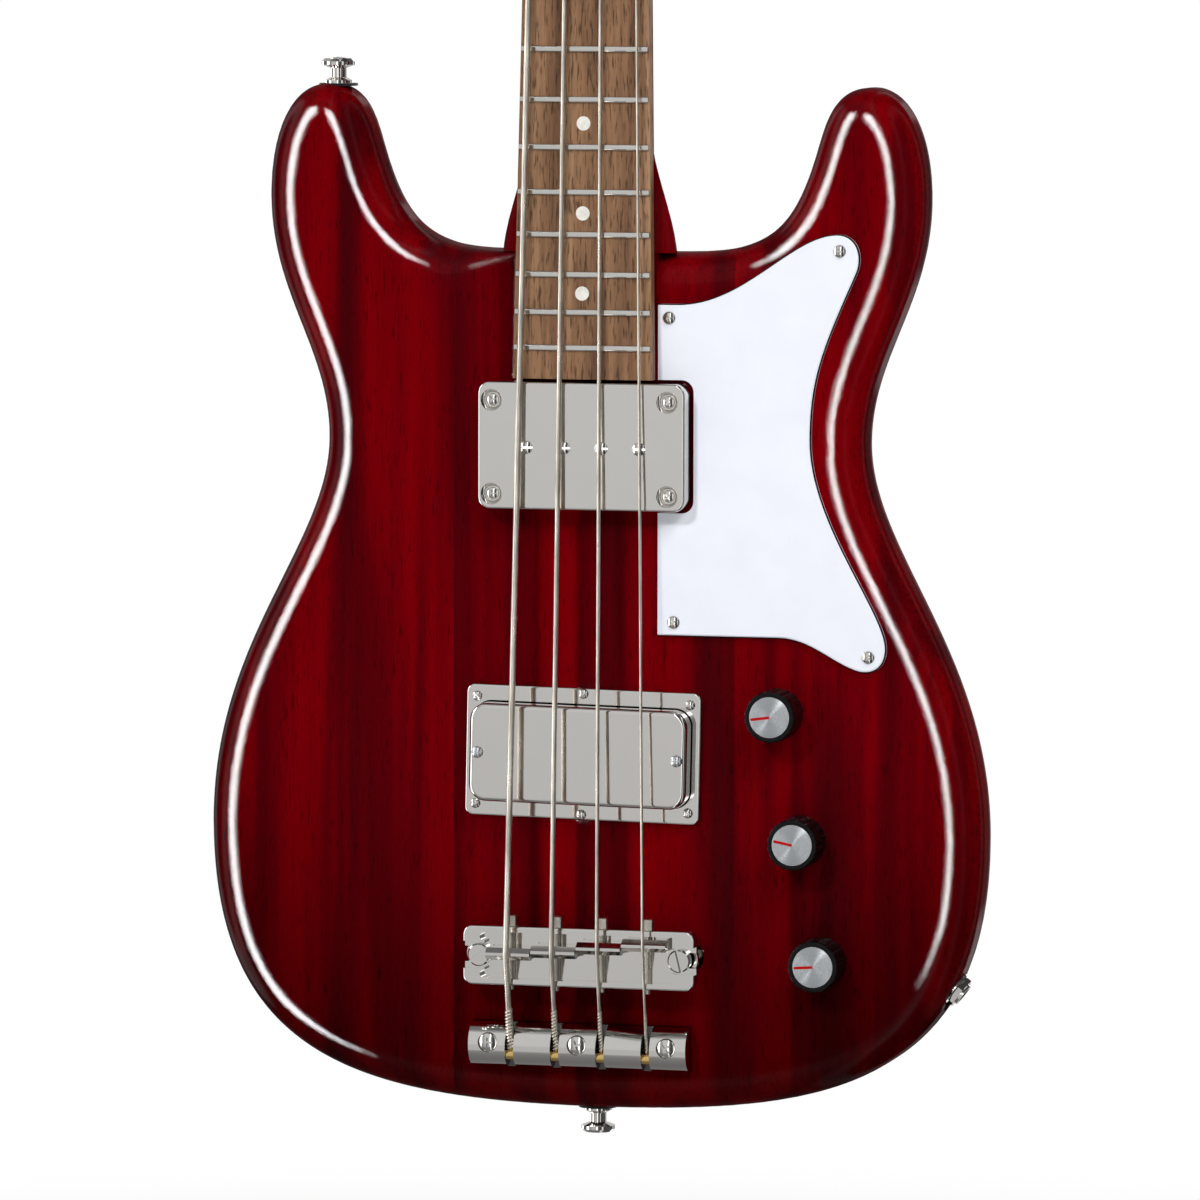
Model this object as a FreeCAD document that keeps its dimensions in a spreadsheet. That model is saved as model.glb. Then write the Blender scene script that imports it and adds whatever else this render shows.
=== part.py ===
import FreeCAD, Part
import Sketcher
import math
import os
import re

# A solid-body electric bass guitar, upright, with its face towards -Y and its neck along +Z.
# Lengths are millimetres and angles degrees.

Vector = FreeCAD.Vector
ACROSS = Vector(1, 0, 0)
ALONG = Vector(0, 1, 0)
OUT = Vector(0, 0, 1)

SIZES = {
    # Neck, fingerboard and strings
    "scale_length": 774.7,
    "fret_count": 20,
    "board_overhang": 12.8,
    "nut_width": 39.5,
    "board_end_width": 58.5,
    "board_thickness": 6.9,
    "board_radius": 305,
    "neck_angle": 1.65,
    "neck_rise": 5.1,
    "neck_depth_nut": 14.5,
    "neck_depth_heel": 17,
    "heel_width": 72.6,
    "heel_depth": 31,
    "heel_length": 60,
    "heel_drop": 0.5,
    "heel_tuck": 3,
    "heel_rise": 6,
    "heel_flare": 7,
    "heel_lip": 1.5,
    "tenon_depth": 26,
    "fret_width": 2.6,
    "fret_crown": 1,
    "fret_inset": 0.4,
    "dot_radius": 2.9,
    "dot_depth": 1.5,
    "dot_pair_spacing": 22,
    "nut_thickness": 5,
    "nut_height": 9.4,
    "nut_string_height": 8.4,
    "nut_string_span": 32.7,
    "string_height": 22.8,
    "string_diameter_low": 2.6,
    "string_diameter_second": 2.1,
    "string_diameter_third": 1.6,
    "string_diameter_high": 1.15,
    "string_bend": 8,
    "string_gap": 0.3,
    "rod_radius": 3,
    "rod_length": 430,
    "rod_wall": 0.3,
    "rod_nut_radius": 4,
    "rod_nut_length": 12,
    "rod_nut_start": 2,
    "rod_reach": 4,
    # Headstock and tuners
    "head_angle": 14,
    "head_drop": 3,
    "head_length": 178,
    "head_thickness": 15,
    "head_shoulder_width": 72,
    "head_end_width": 60,
    "head_shoulder": 44,
    "head_start_width": 29,
    "head_root": 4,
    "head_corner_length": 12,
    "head_corner_width": 16,
    "head_edge": 2.5,
    "post_near": 52,
    "post_far": 118,
    "post_near_offset": 24,
    "post_far_offset": 21,
    "post_radius": 5,
    "post_height": 15,
    "post_slot": 3,
    "post_slot_depth": 5,
    "post_chamfer": 0.8,
    "bushing_radius": 6.5,
    "bushing_flange": 8,
    "bushing_rim": 1.5,
    "housing_width": 24,
    "housing_length": 31,
    "housing_height": 13,
    "housing_shift": 4,
    "housing_round": 3,
    "housing_floor": 3,
    "key_drop": 8,
    "key_depth": 6.5,
    "key_shaft_radius": 2.9,
    "key_shaft_reach": 21,
    "key_shaft_inside": 8,
    "key_half_length": 13,
    "key_half_width": 10.5,
    "key_half_thickness": 3.5,
    "key_root": 3,
    "winding_turns": 2,
    "winding_gap": 1.3,
    "winding_height": 3.6,
    "rod_cover_width": 24,
    "rod_cover_length": 42,
    "rod_cover_thickness": 2,
    "rod_cover_corner": 9,
    "rod_cover_start": 10,
    "rod_cover_screw_start": 6,
    "rod_cover_screw_end": 5,
    "rod_pocket_width": 10,
    "rod_pocket_length": 24,
    "rod_pocket_depth": 9,
    # Body outline, distances measured from the nut
    "body_thickness": 35,
    "body_round": 12,
    "body_round_at_neck": 0.8,
    "body_bottom": 845,
    "body_lower_width": 327.4,
    "body_lower_place": 730.3,
    "body_waist_width": 226.6,
    "body_waist_place": 569.4,
    "body_upper_width": 276.3,
    "body_upper_place": 469.5,
    "horn_tip_inset": 23.55,
    "horn_tip_place": 424.1,
    "cutaway_inset": 45.65,
    "cutaway_place": 452.1,
    "cutaway_lean": 17.3,
    "neck_joint_place": 491.8,
    # Neck pickup
    "neck_pickup_gap": 0.9,
    "neck_pickup_width": 87.3,
    "neck_pickup_length": 52.25,
    "neck_pickup_height": 13,
    "neck_pickup_corner": 5,
    "neck_pickup_edge": 1.1,
    "neck_pickup_top": 4,
    "neck_screw_width": 74,
    "neck_screw_length": 38.4,
    "neck_screw_shift": -0.7,
    "neck_pattern_drop": 0.6,
    "neck_dish_radius": 4.5,
    "neck_dish_floor": 3.1,
    "neck_dish_depth": 2.2,
    "pole_spacing": 15.8,
    "pole_offset": 0.7,
    "pole_radius": 2.7,
    "pole_rise": 1.2,
    "pole_rim_share": 0.2,
    "pole_length": 16,
    "neck_coil_width": 62,
    "neck_coil_length": 38,
    "neck_coil_height": 20,
    "cover_wall": 1.3,
    "coil_room": 1,
    # Bridge pickup
    "ring_place": 697.5,
    "ring_shift": -1.7,
    "ring_turn": -1.1,
    "ring_width": 99.4,
    "ring_length": 54.4,
    "ring_thickness": 2.8,
    "ring_corner": 3.6,
    "ring_inner_width": 92.6,
    "ring_inner_length": 41.4,
    "ring_inner_corner": 7.5,
    "ring_screw_width": 90,
    "ring_screw_length": 44.4,
    "ring_screw_middle": 49.8,
    "ring_screw_head": 2.1,
    "ring_gap": 0.4,
    "pickup_top": 12.3,
    "pickup_drop": 0.6,
    "pickup_edge": 2,
    "pickup_screw_spacing": 84.1,
    "pickup_screw_radius": 1.6,
    "pickup_screw_head": 2.45,
    "pickup_screw_length": 36,
    "pickup_screw_rim": 0.5,
    "pickup_screw_dome": 1.1,
    "pickup_coil_width": 76,
    "pickup_coil_length": 36,
    "pickup_coil_height": 20,
    "pickup_travel": 3,
    # Pickguard
    "guard_thickness": 2.3,
    "guard_bevel": 1,
    "guard_gap": 0.5,
    "guard_notch_gap": 1.1,
    "guard_top": 512.2,
    "guard_bottom": 648.2,
    "guard_horn_inset": 33.65,
    "guard_horn_place": 483.1,
    "guard_waist_inset": 19.7,
    "guard_waist_place": 567,
    "guard_tail_inset": 38.4,
    "guard_tail_place": 651.5,
    "guard_horn_radius": 8,
    "guard_toe_length": 13.5,
    "guard_toe_drop": 9,
    "guard_toe_sweep": 31.5,
    "guard_toe_lean": 19.4,
    "guard_flank_lean": 24,
    "guard_screw_top_side": 4.65,
    "guard_screw_bottom_side": 6.75,
    "guard_screw_inset": 5.8,
    "guard_screw_horn_side": 1,
    "guard_screw_horn_drop": 6.9,
    "guard_screw_tail_side": 7.3,
    "guard_screw_tail_drop": 3.4,
    # Bridge
    "bridge_place": 780,
    "bridge_width": 97.8,
    "bridge_length": 24.4,
    "bridge_bottom": 10,
    "bridge_height": 6.3,
    "bridge_wall": 2.5,
    "bridge_floor": 2.5,
    "bridge_corner": 4,
    "bridge_post_spacing": 84.6,
    "bridge_post_waist": 3.15,
    "bridge_post_head": 4.75,
    "bridge_post_head_height": 3.6,
    "bridge_post_recess": 0.9,
    "bridge_notch_radius": 1.7,
    "bridge_notch_x": 2.3,
    "bridge_notch_y": 7.7,
    "bridge_tray_width": 79.4,
    "bridge_post_flange": 6.5,
    "bridge_post_flange_height": 3,
    "bridge_post_stem": 4,
    "bridge_post_depth": 16,
    "bridge_post_room": 4,
    "bridge_post_slot": 1.3,
    "bridge_post_slot_depth": 1.3,
    "bridge_post_slot_turn_bass": 39,
    "bridge_post_slot_turn_treble": -76,
    "bridge_post_chamfer": 0.6,
    "post_bushing_wall": 1.5,
    "post_bushing_flange": 1.4,
    "post_bushing_rim": 0.8,
    "saddle_spacing": 19.2,
    "saddle_gap": 0.6,
    "saddle_length": 5,
    "saddle_ridge": 1.2,
    "saddle_shoulder": 9,
    "saddle_overhang": 0.9,
    "saddle_step": 6.6,
    "saddle_place_low": 778.9,
    "saddle_place_second": 777.6,
    "saddle_place_third": 775.5,
    "saddle_place_high": 773.7,
    "saddle_screw_radius": 1.3,
    "saddle_screw_height": 4.3,
    "saddle_screw_head": 4.6,
    "saddle_screw_head_length": 4.4,
    "saddle_screw_nub": 1.8,
    # Tailpiece
    "tail_place": 818,
    "tail_shift": -2,
    "tail_width": 92,
    "tail_length": 18.9,
    "tail_height": 11.5,
    "tail_edge": 2,
    "tail_screw_spacing": 37.75,
    "tail_screw_offset": 1.2,
    "tail_screw_radius": 2.2,
    "tail_screw_head": 4,
    "tail_screw_head_height": 2.2,
    "tail_screw_length": 26,
    "tail_screw_dome": 1.2,
    "tail_screw_proud": 0.4,
    "tail_slot": 3.6,
    "tail_slot_floor": 4,
    "tail_ball_height": 7.1,
    "tail_ball_offset": 3.9,
    "ball_radius": 2.3,
    "ball_length": 4.8,
    "ball_gap": 0.3,
    # Knobs and potentiometers
    "knob_radius": 10.5,
    "knob_top": 17.5,
    "knob_lift": 1,
    "knob_flutes": 18,
    "knob_flute_radius": 1.1,
    "knob_flute_depth": 0.45,
    "knob_hollow": 7.6,
    "knob_hollow_depth": 6.5,
    "insert_radius": 8.3,
    "insert_thickness": 1,
    "shaft_radius": 3,
    "shaft_top": 14,
    "pot_radius": 12,
    "pot_height": 9,
    "pot_bushing": 4.75,
    "pot_bushing_top": 6,
    "pot_nut_radius": 6.5,
    "pot_nut_height": 2,
    "pot_shaft_depth": 5,
    "knob_upper_share": 0.2792,
    "knob_upper_place": 678.9,
    "knob_middle_share": 0.3622,
    "knob_middle_place": 730.8,
    "knob_lower_share": 0.4382,
    "knob_lower_place": 780.4,
    # Control cavity and its cover
    "cavity_roof": 7,
    "cavity_width": 48,
    "cavity_length": 134,
    "cavity_corner": 14,
    "cavity_ledge": 7,
    "cover_screw_spacing": 76,
    "cover_thickness": 2,
    "cover_sink": 1.6,
    # Output jack
    "jack_place": 791.6,
    "jack_lean": -37.6,
    "jack_seat_depth": 1.1,
    "jack_flat_radius": 10,
    "jack_bore": 3.2,
    "jack_sleeve": 4.7,
    "jack_sleeve_length": 4.5,
    "jack_barrel": 6,
    "jack_barrel_length": 34,
    "jack_bore_length": 32,
    "jack_washer_radius": 7.4,
    "jack_washer_thickness": 1.2,
    "jack_nut_flats": 12,
    "jack_nut_thickness": 2.2,
    # Strap buttons
    "button_offset": 3.4,
    "button_seat_depth": 1,
    "button_base_radius": 5.7,
    "button_neck_radius": 3.4,
    "button_head_radius": 7,
    "button_height": 10.2,
    "button_base_height": 1.2,
    "button_taper": 1.2,
    "button_head_height": 2.6,
    "button_head_taper": 1.4,
    "button_edge": 1.2,
    "button_sink": 0.3,
    "button_screw_dome": 0.6,
    "button_bore": 2.1,
    "felt_radius": 8,
    "felt_thickness": 1.1,
    "button_screw_length": 22,
    # Small oval-head screws
    "screw_radius": 1.5,
    "screw_head": 2.7,
    "screw_head_height": 1.4,
    "screw_length": 12,
    "screw_rim_share": 0.3,
    # Clearances
    "fit": 0.05,
    "face_gap": 0.1,
    "hole_room": 1,
}

# How far each curve of an outline follows its first and its last direction, as shares of its reach that way
BODY_PULLS = ((0.604, 0.883), (0.474, 0.278), (0.362, 0.423), (0.601, 0.578), (0.706, 0.342), (0.569, 0.655))
HEAD_PULLS = ((0.54, 0.5), (0.33, 0.31), (0.75, 0.44))
GUARD_PULLS = ((0.42, 0.285), (1, 0.714), (0.465, 0.383), (0.402, 0.178), (0.778, 0.926), (0.32, 0.413))

STRINGS = ("low", "second", "third", "high")
DOT_FRETS = (3, 5, 7, 9, 15, 17, 19)
DOUBLE_DOT_FRET = 12
KNOBS = ("upper", "middle", "lower")

doc = FreeCAD.newDocument("bass_guitar")
sheet = doc.addObject("Spreadsheet::Sheet", "Sizes")
for row, (name, number) in enumerate(SIZES.items(), start=1):
    sheet.set(f"A{row}", name)
    sheet.set(f"B{row}", str(number))
    sheet.setAlias(f"B{row}", name)
doc.recompute()

nodes = {}


def size(name):
    return float(sheet.get(name))


def formula(text):
    """Point each size named in the text at its cell of the sheet."""
    def cell(word):
        return "Sizes." + word.group() if word.group() in SIZES else word.group()
    return re.sub(r"[a-z_]+", cell, text)


def bind(item, **links):
    """Tie properties of an object to formulas of the sheet's sizes."""
    for name, text in links.items():
        item.setExpression(name, formula(text))
    return item


def at(x=0, y=0, z=0, turn=0, axis=OUT):
    return FreeCAD.Placement(Vector(x, y, z), FreeCAD.Rotation(axis, turn))


def facing(x, y, z, direction):
    """A frame whose own Z points along the direction."""
    return FreeCAD.Placement(Vector(x, y, z), FreeCAD.Rotation(OUT, direction))


def fret_place(number):
    return size("scale_length") * (1 - 2 ** (-number / 12))


# Frames: the body's face (x across, y up the neck, z out of the face), the neck and the headstock
board_length = fret_place(size("fret_count")) + size("board_overhang")
FACE = at(0, -size("body_thickness") / 2, 0, 90, ACROSS)
lean = math.tan(math.radians(size("neck_angle")))
glue_at_nut = size("neck_rise") - board_length * lean
NECK = FACE * at(0, 0, glue_at_nut, -size("neck_angle"), ACROSS)
HEAD = NECK * at(0, size("nut_thickness"), -size("head_drop"), -size("head_angle"), ACROSS)


def keep(label, item):
    item.Label = label
    nodes[label] = item
    return item


def new_body(name, frame):
    body = doc.addObject("PartDesign::Body", name)
    body.Placement = frame
    return body


def sketch_on(body, role="XY_Plane", lift="0"):
    plane = next(feature for feature in body.Origin.OriginFeatures if feature.Role == role)
    sketch = body.newObject("Sketcher::SketchObject", body.Name + "_sketch")
    sketch.AttachmentSupport = [(plane, "")]
    sketch.MapMode = "FlatFace"
    bind(sketch, **{"AttachmentOffset.Base.z": lift})
    return sketch


def draw_polygon(sketch, points):
    corners = [Vector(x, y, 0) for x, y in points]
    for start, end in zip(corners, corners[1:] + corners[:1]):
        sketch.addGeometry(Part.LineSegment(start, end), False)


def bend(start, way, end, end_way, pulls):
    """A curve that leaves its start and reaches its end along the given directions."""
    first = Vector(*start, 0)
    last = Vector(*end, 0)
    leave = Vector(*way, 0)
    arrive = Vector(*end_way, 0)
    second = first + leave * abs((last - first).dot(leave)) * pulls[0]
    third = last - arrive * abs((last - first).dot(arrive)) * pulls[1]
    curve = Part.BezierCurve()
    curve.setPoles([first, second, third, last])
    return curve


def draw_bends(sketch, stops, pulls, side=1):
    """Curves through the stops (x, y, heading), each with its pair of pulls."""
    points = [(side * x, y) for x, y, _ in stops]
    ways = [(side * math.cos(math.radians(turn)), math.sin(math.radians(turn))) for _, _, turn in stops]
    for number, pair in enumerate(pulls):
        curve = bend(points[number], ways[number], points[number + 1], ways[number + 1], pair)
        sketch.addGeometry(curve.toBSpline(), False)


def draw_line(sketch, start, end):
    sketch.addGeometry(Part.LineSegment(Vector(*start, 0), Vector(*end, 0)), False)


def draw_arc(sketch, start, middle, end):
    arc = Part.Arc(Vector(*start, 0), Vector(*middle, 0), Vector(*end, 0))
    sketch.addGeometry(arc, False)


def draw_circle(sketch, radius, x=0, y=0):
    circle = Part.Circle(Vector(x, y, 0), OUT, 1)
    index = sketch.addGeometry(circle, False)
    number = sketch.addConstraint(Sketcher.Constraint("Radius", index, 1.0))
    bind(sketch, **{f"Constraints[{number}]": radius})


def draw_rectangle(sketch, width, length, x=0, y=0):
    half_width = evaluate(width) / 2
    half_length = evaluate(length) / 2
    draw_polygon(sketch, [(x - half_width, y - half_length), (x + half_width, y - half_length),
                          (x + half_width, y + half_length), (x - half_width, y + half_length)])


def evaluate(text):
    """The value of a formula of the sheet's sizes."""
    return float(sheet.evalExpression(formula(text)))


def pad(body, sketch, length, down=False):
    feature = body.newObject("PartDesign::Pad", body.Name + "_pad")
    feature.Profile = sketch
    feature.Reversed = down
    return bind(feature, Length=length)


def pocket(body, sketch, length, up=False):
    feature = body.newObject("PartDesign::Pocket", body.Name + "_pocket")
    feature.Profile = sketch
    feature.Reversed = up
    return bind(feature, Length=length)


def edge_names(shape, test):
    return [f"Edge{number}" for number, edge in enumerate(shape.Edges, start=1) if test(edge)]


def is_upright(edge):
    if len(edge.Vertexes) < 2:
        return False
    chord = edge.Vertexes[0].Point - edge.Vertexes[1].Point
    return chord.cross(OUT).Length < 1e-6


def lies_at(height):
    return lambda edge: all(abs(vertex.Point.z - height) < 1e-6 for vertex in edge.Vertexes)


def round_edges(body, base, test, radius):
    doc.recompute()
    fillet = body.newObject("PartDesign::Fillet", body.Name + "_round")
    fillet.Base = (base, edge_names(base.Shape, test))
    return bind(fillet, Radius=radius)


def block(name, frame, width, length, height, corner, top_edge=None):
    """A plate on the frame's XY plane with rounded corners and, if asked, a rounded upper edge."""
    body = new_body(name, frame)
    sketch = sketch_on(body)
    draw_rectangle(sketch, width, length)
    feature = pad(body, sketch, height)
    feature = round_edges(body, feature, is_upright, corner)
    if top_edge:
        round_edges(body, feature, lies_at(evaluate(height)), top_edge)
    return body


def turned(name, frame, profile):
    """A turned piece: (radius, height) corners, an arc's corner having its middle point as well."""
    body = new_body(name, frame)
    sketch = sketch_on(body, "XZ_Plane")
    ends = [corner[:2] for corner in profile]
    for start, corner in zip(ends[-1:] + ends[:-1], profile):
        if len(corner) == 4:
            draw_arc(sketch, start, corner[2:], corner[:2])
        else:
            draw_line(sketch, start, corner[:2])
    feature = body.newObject("PartDesign::Revolution", name + "_turn")
    feature.Profile = sketch
    feature.ReferenceAxis = (sketch, ["V_Axis"])
    feature.Angle = 360
    return body


def dome(radius, start, rise):
    """The corner that closes a turned profile with a round cap."""
    sphere = (radius ** 2 + rise ** 2) / (2 * rise)
    half_angle = math.asin(radius / sphere) / 2
    top = start + rise
    return (0, top, sphere * math.sin(half_angle), top - sphere * (1 - math.cos(half_angle)))


def cylinder(name, radius, height, frame):
    item = doc.addObject("Part::Cylinder", name)
    item.Placement = frame
    return bind(item, Radius=radius, Height=height)


def copies(name, master, frames):
    """The same piece at several places."""
    return grouped(name, [(master, frame) for frame in frames])


def grouped(name, places):
    """Copies of several pieces, each with its frame."""
    links = []
    for master, frame in places:
        link = doc.addObject("App::Link", name + "_copy")
        link.LinkedObject = master
        link.Placement = frame
        links.append(link)
    group = doc.addObject("Part::Compound", name)
    group.Links = links
    return group


def cut(name, base, *tools):
    tool = tools[0]
    if len(tools) > 1:
        tool = doc.addObject("Part::MultiFuse", name + "_cutters")
        tool.Shapes = list(tools)
    item = doc.addObject("Part::Cut", name)
    item.Base = base
    item.Tool = tool
    return item


def fuse(name, *shapes):
    item = doc.addObject("Part::MultiFuse", name)
    item.Shapes = list(shapes)
    return item


# Places of the small pieces

def board_width(place):
    share = place / board_length
    return size("nut_width") + (size("board_end_width") - size("nut_width")) * share


def mirrored(x, y):
    return [(-x, y), (x, y)]


neck_pickup_place = board_length + size("neck_pickup_gap") + size("neck_pickup_length") / 2
NECK_PICKUP = FACE * at(0, -neck_pickup_place, 0)
RING = FACE * at(size("ring_shift"), -size("ring_place"), 0, size("ring_turn"))
BRIDGE = FACE * at(0, -size("bridge_place"), size("bridge_bottom"))
TAIL = FACE * at(size("tail_shift"), -size("tail_place"), 0)

neck_screw_places = [(size("neck_screw_shift") + x * size("neck_screw_width") / 2,
                      y * size("neck_screw_length") / 2 - size("neck_pattern_drop"))
                     for x in (-1, 1) for y in (-1, 1)]
pole_places = [(size("pole_offset") + (number - 1.5) * size("pole_spacing"), -size("neck_pattern_drop"))
               for number in range(4)]
ring_screw_places = [(x * size("ring_screw_width") / 2, y * size("ring_screw_length") / 2)
                     for x in (-1, 1) for y in (-1, 1)]
ring_screw_places += [(0, y * size("ring_screw_middle") / 2) for y in (-1, 1)]
pickup_screw_places = mirrored(size("pickup_screw_spacing") / 2, 0)
bridge_post_places = mirrored(size("bridge_post_spacing") / 2, 0)
saddle_places = {name: ((number - 1.5) * size("saddle_spacing"),
                        size("bridge_place") - size("saddle_place_" + name))
                 for number, name in enumerate(STRINGS)}
tail_screw_places = [((number - 1) * size("tail_screw_spacing"), size("tail_screw_offset"))
                     for number in range(3)]
ring_side = size("ring_shift") + size("ring_width") / 2
free_width = size("body_lower_width") / 2 - ring_side
knob_places = {name: (ring_side + size(f"knob_{name}_share") * free_width, -size(f"knob_{name}_place"))
               for name in KNOBS}
post_places = {"low": (-size("post_near_offset"), size("post_near")),
               "second": (-size("post_far_offset"), size("post_far")),
               "third": (size("post_far_offset"), size("post_far")),
               "high": (size("post_near_offset"), size("post_near"))}

upper_knob = Vector(*knob_places["upper"], 0)
lower_knob = Vector(*knob_places["lower"], 0)
knob_line = lower_knob - upper_knob
cavity_turn = math.degrees(math.atan2(knob_line.x, -knob_line.y))
cavity_middle = (upper_knob + lower_knob) / 2
BACK = FACE * at(cavity_middle.x, cavity_middle.y, -size("body_thickness"), cavity_turn)


def body_stops():
    """Half of the body's outline, from the bottom to the neck joint, by its extremes and their headings."""
    upper = size("body_upper_width") / 2
    return [(0, -size("body_bottom"), 0),
            (size("body_lower_width") / 2, -size("body_lower_place"), 90),
            (size("body_waist_width") / 2, -size("body_waist_place"), 90),
            (upper, -size("body_upper_place"), 90),
            (upper - size("horn_tip_inset"), -size("horn_tip_place"), 180),
            (upper - size("cutaway_inset"), -size("cutaway_place"), 270 - size("cutaway_lean")),
            (size("heel_width") / 2, -size("neck_joint_place"), 180)]


def lower_side(place):
    """How far the lower treble side reaches at a distance from the nut."""
    bottom, side = body_stops()[:2]
    rim = bend(bottom[:2], (1, 0), side[:2], (0, 1), BODY_PULLS[0])
    level = Part.LineSegment(Vector(0, -place, 0), Vector(size("body_lower_width"), -place, 0))
    return rim.intersect(level)[0].X


jack_direction = FreeCAD.Rotation(OUT, size("jack_lean")).multVec(ACROSS)
jack_seat = lower_side(size("jack_place")) - size("jack_seat_depth")
JACK = FACE * facing(jack_seat, -size("jack_place"), -size("body_thickness") / 2, jack_direction)
horn_tip, horn_tip_y, _ = body_stops()[4]
HORN_BUTTON = FACE * facing(size("button_offset") - horn_tip, horn_tip_y - size("button_seat_depth"),
                            -size("body_thickness") / 2, ALONG)
END_BUTTON = FACE * facing(0, -size("body_bottom") + size("button_seat_depth") / 4,
                           -size("body_thickness") / 2, -ALONG)
strap_frames = (HORN_BUTTON, END_BUTTON)

guard_side = size("board_end_width") / 2 + size("guard_gap")
guard_horn = size("body_upper_width") / 2 - size("guard_horn_inset")
guard_waist = size("body_waist_width") / 2 - size("guard_waist_inset")
guard_tail = size("body_lower_width") / 2 - size("guard_tail_inset")
guard_screw_places = [
    (guard_horn + size("guard_screw_horn_side"), -size("guard_horn_place") - size("guard_screw_horn_drop")),
    (guard_side + size("guard_screw_top_side"), -size("guard_top") - size("guard_screw_inset")),
    (guard_side + size("guard_screw_bottom_side"), -size("guard_bottom") + size("guard_screw_inset")),
    (guard_tail - size("guard_screw_tail_side"), -size("guard_tail_place") - size("guard_screw_tail_drop"))]
cover_screw_places = [(x * (size("cavity_width") + size("cavity_ledge")) / 2,
                       y * size("cover_screw_spacing") / 2)
                      for x in (-1, 1) for y in (-1, 1)]
rod_cover_middle = size("rod_cover_start") + size("rod_cover_length") / 2
rod_cover_screw_places = mirrored(size("rod_cover_width") / 3,
                                  size("rod_cover_start") + size("rod_cover_screw_start"))
rod_cover_end = size("rod_cover_start") + size("rod_cover_length")
rod_cover_screw_places.append((0, rod_cover_end - size("rod_cover_screw_end")))

ring_screw_frames = [RING * at(x, y, size("ring_thickness")) for x, y in ring_screw_places]
screw_frames = [FACE * at(x, y, size("guard_thickness")) for x, y in guard_screw_places]
screw_frames += [BACK * at(x, y, size("cover_sink"), 180, ACROSS) for x, y in cover_screw_places]
screw_frames += [HEAD * at(x, y, size("rod_cover_thickness")) for x, y in rod_cover_screw_places]


# Small screws, shared by the pickguard, the pickup ring and both covers

def oval_screw_profile(length, head):
    radius = size("screw_radius")
    rise = size("screw_head_height")
    rim = rise * size("screw_rim_share")
    return [(0, -length), (radius, radius - length), (radius, 0), (head, 0), (head, rim),
            dome(head, rim, rise - rim)]


oval_screw = turned("oval_screw", at(), oval_screw_profile(size("screw_length"), size("screw_head")))
ring_screw = turned("ring_screw", at(), oval_screw_profile(size("screw_length"), size("ring_screw_head")))
keep("oval_head_screws", grouped("oval_head_screws", [(oval_screw, frame) for frame in screw_frames]
                                 + [(ring_screw, frame) for frame in ring_screw_frames]))
screw_hole = cylinder("screw_hole", "screw_radius + fit", "2 * screw_length", at())
hole_sink = at(0, 0, -size("screw_length"))
screw_holes = copies("screw_holes", screw_hole,
                     [frame * hole_sink for frame in screw_frames + ring_screw_frames])


# Body


def rounded_blank():
    """The slab with both rims rounded, the rounding fading out towards the neck joint."""
    body = new_body("body_blank", FACE)
    sketch = sketch_on(body)
    for side in (-1, 1):
        draw_bends(sketch, body_stops(), BODY_PULLS, side)
    joint = size("heel_width") / 2
    draw_line(sketch, (-joint, -size("neck_joint_place")), (joint, -size("neck_joint_place")))
    pad(body, sketch, "body_thickness", down=True)
    doc.recompute()
    joint_height = FACE.multVec(Vector(0, -size("neck_joint_place"), 0)).z

    def radius_at(point):
        return size("body_round_at_neck" if abs(point.z - joint_height) < 1e-3 else "body_round")

    rims = []
    for number, edge in enumerate(body.Shape.Edges, start=1):
        start = edge.valueAt(edge.FirstParameter)
        end = edge.valueAt(edge.LastParameter)
        if abs(start.y - end.y) < 1e-3:
            rims.append((number, radius_at(start), radius_at(end)))
    fillet = doc.addObject("Part::Fillet", "body_rounded")
    fillet.Base = body
    fillet.Edges = rims
    return fillet


def draw_tenon(body):
    """The neck's tenon, as wide as the fingerboard above it."""
    start = size("neck_joint_place")
    end = board_length
    sketch = sketch_on(body)
    draw_polygon(sketch, [(-board_width(start) / 2, -start), (board_width(start) / 2, -start),
                          (board_width(end) / 2, -end), (-board_width(end) / 2, -end)])
    return pad(body, sketch, "tenon_depth", down=True)


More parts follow.
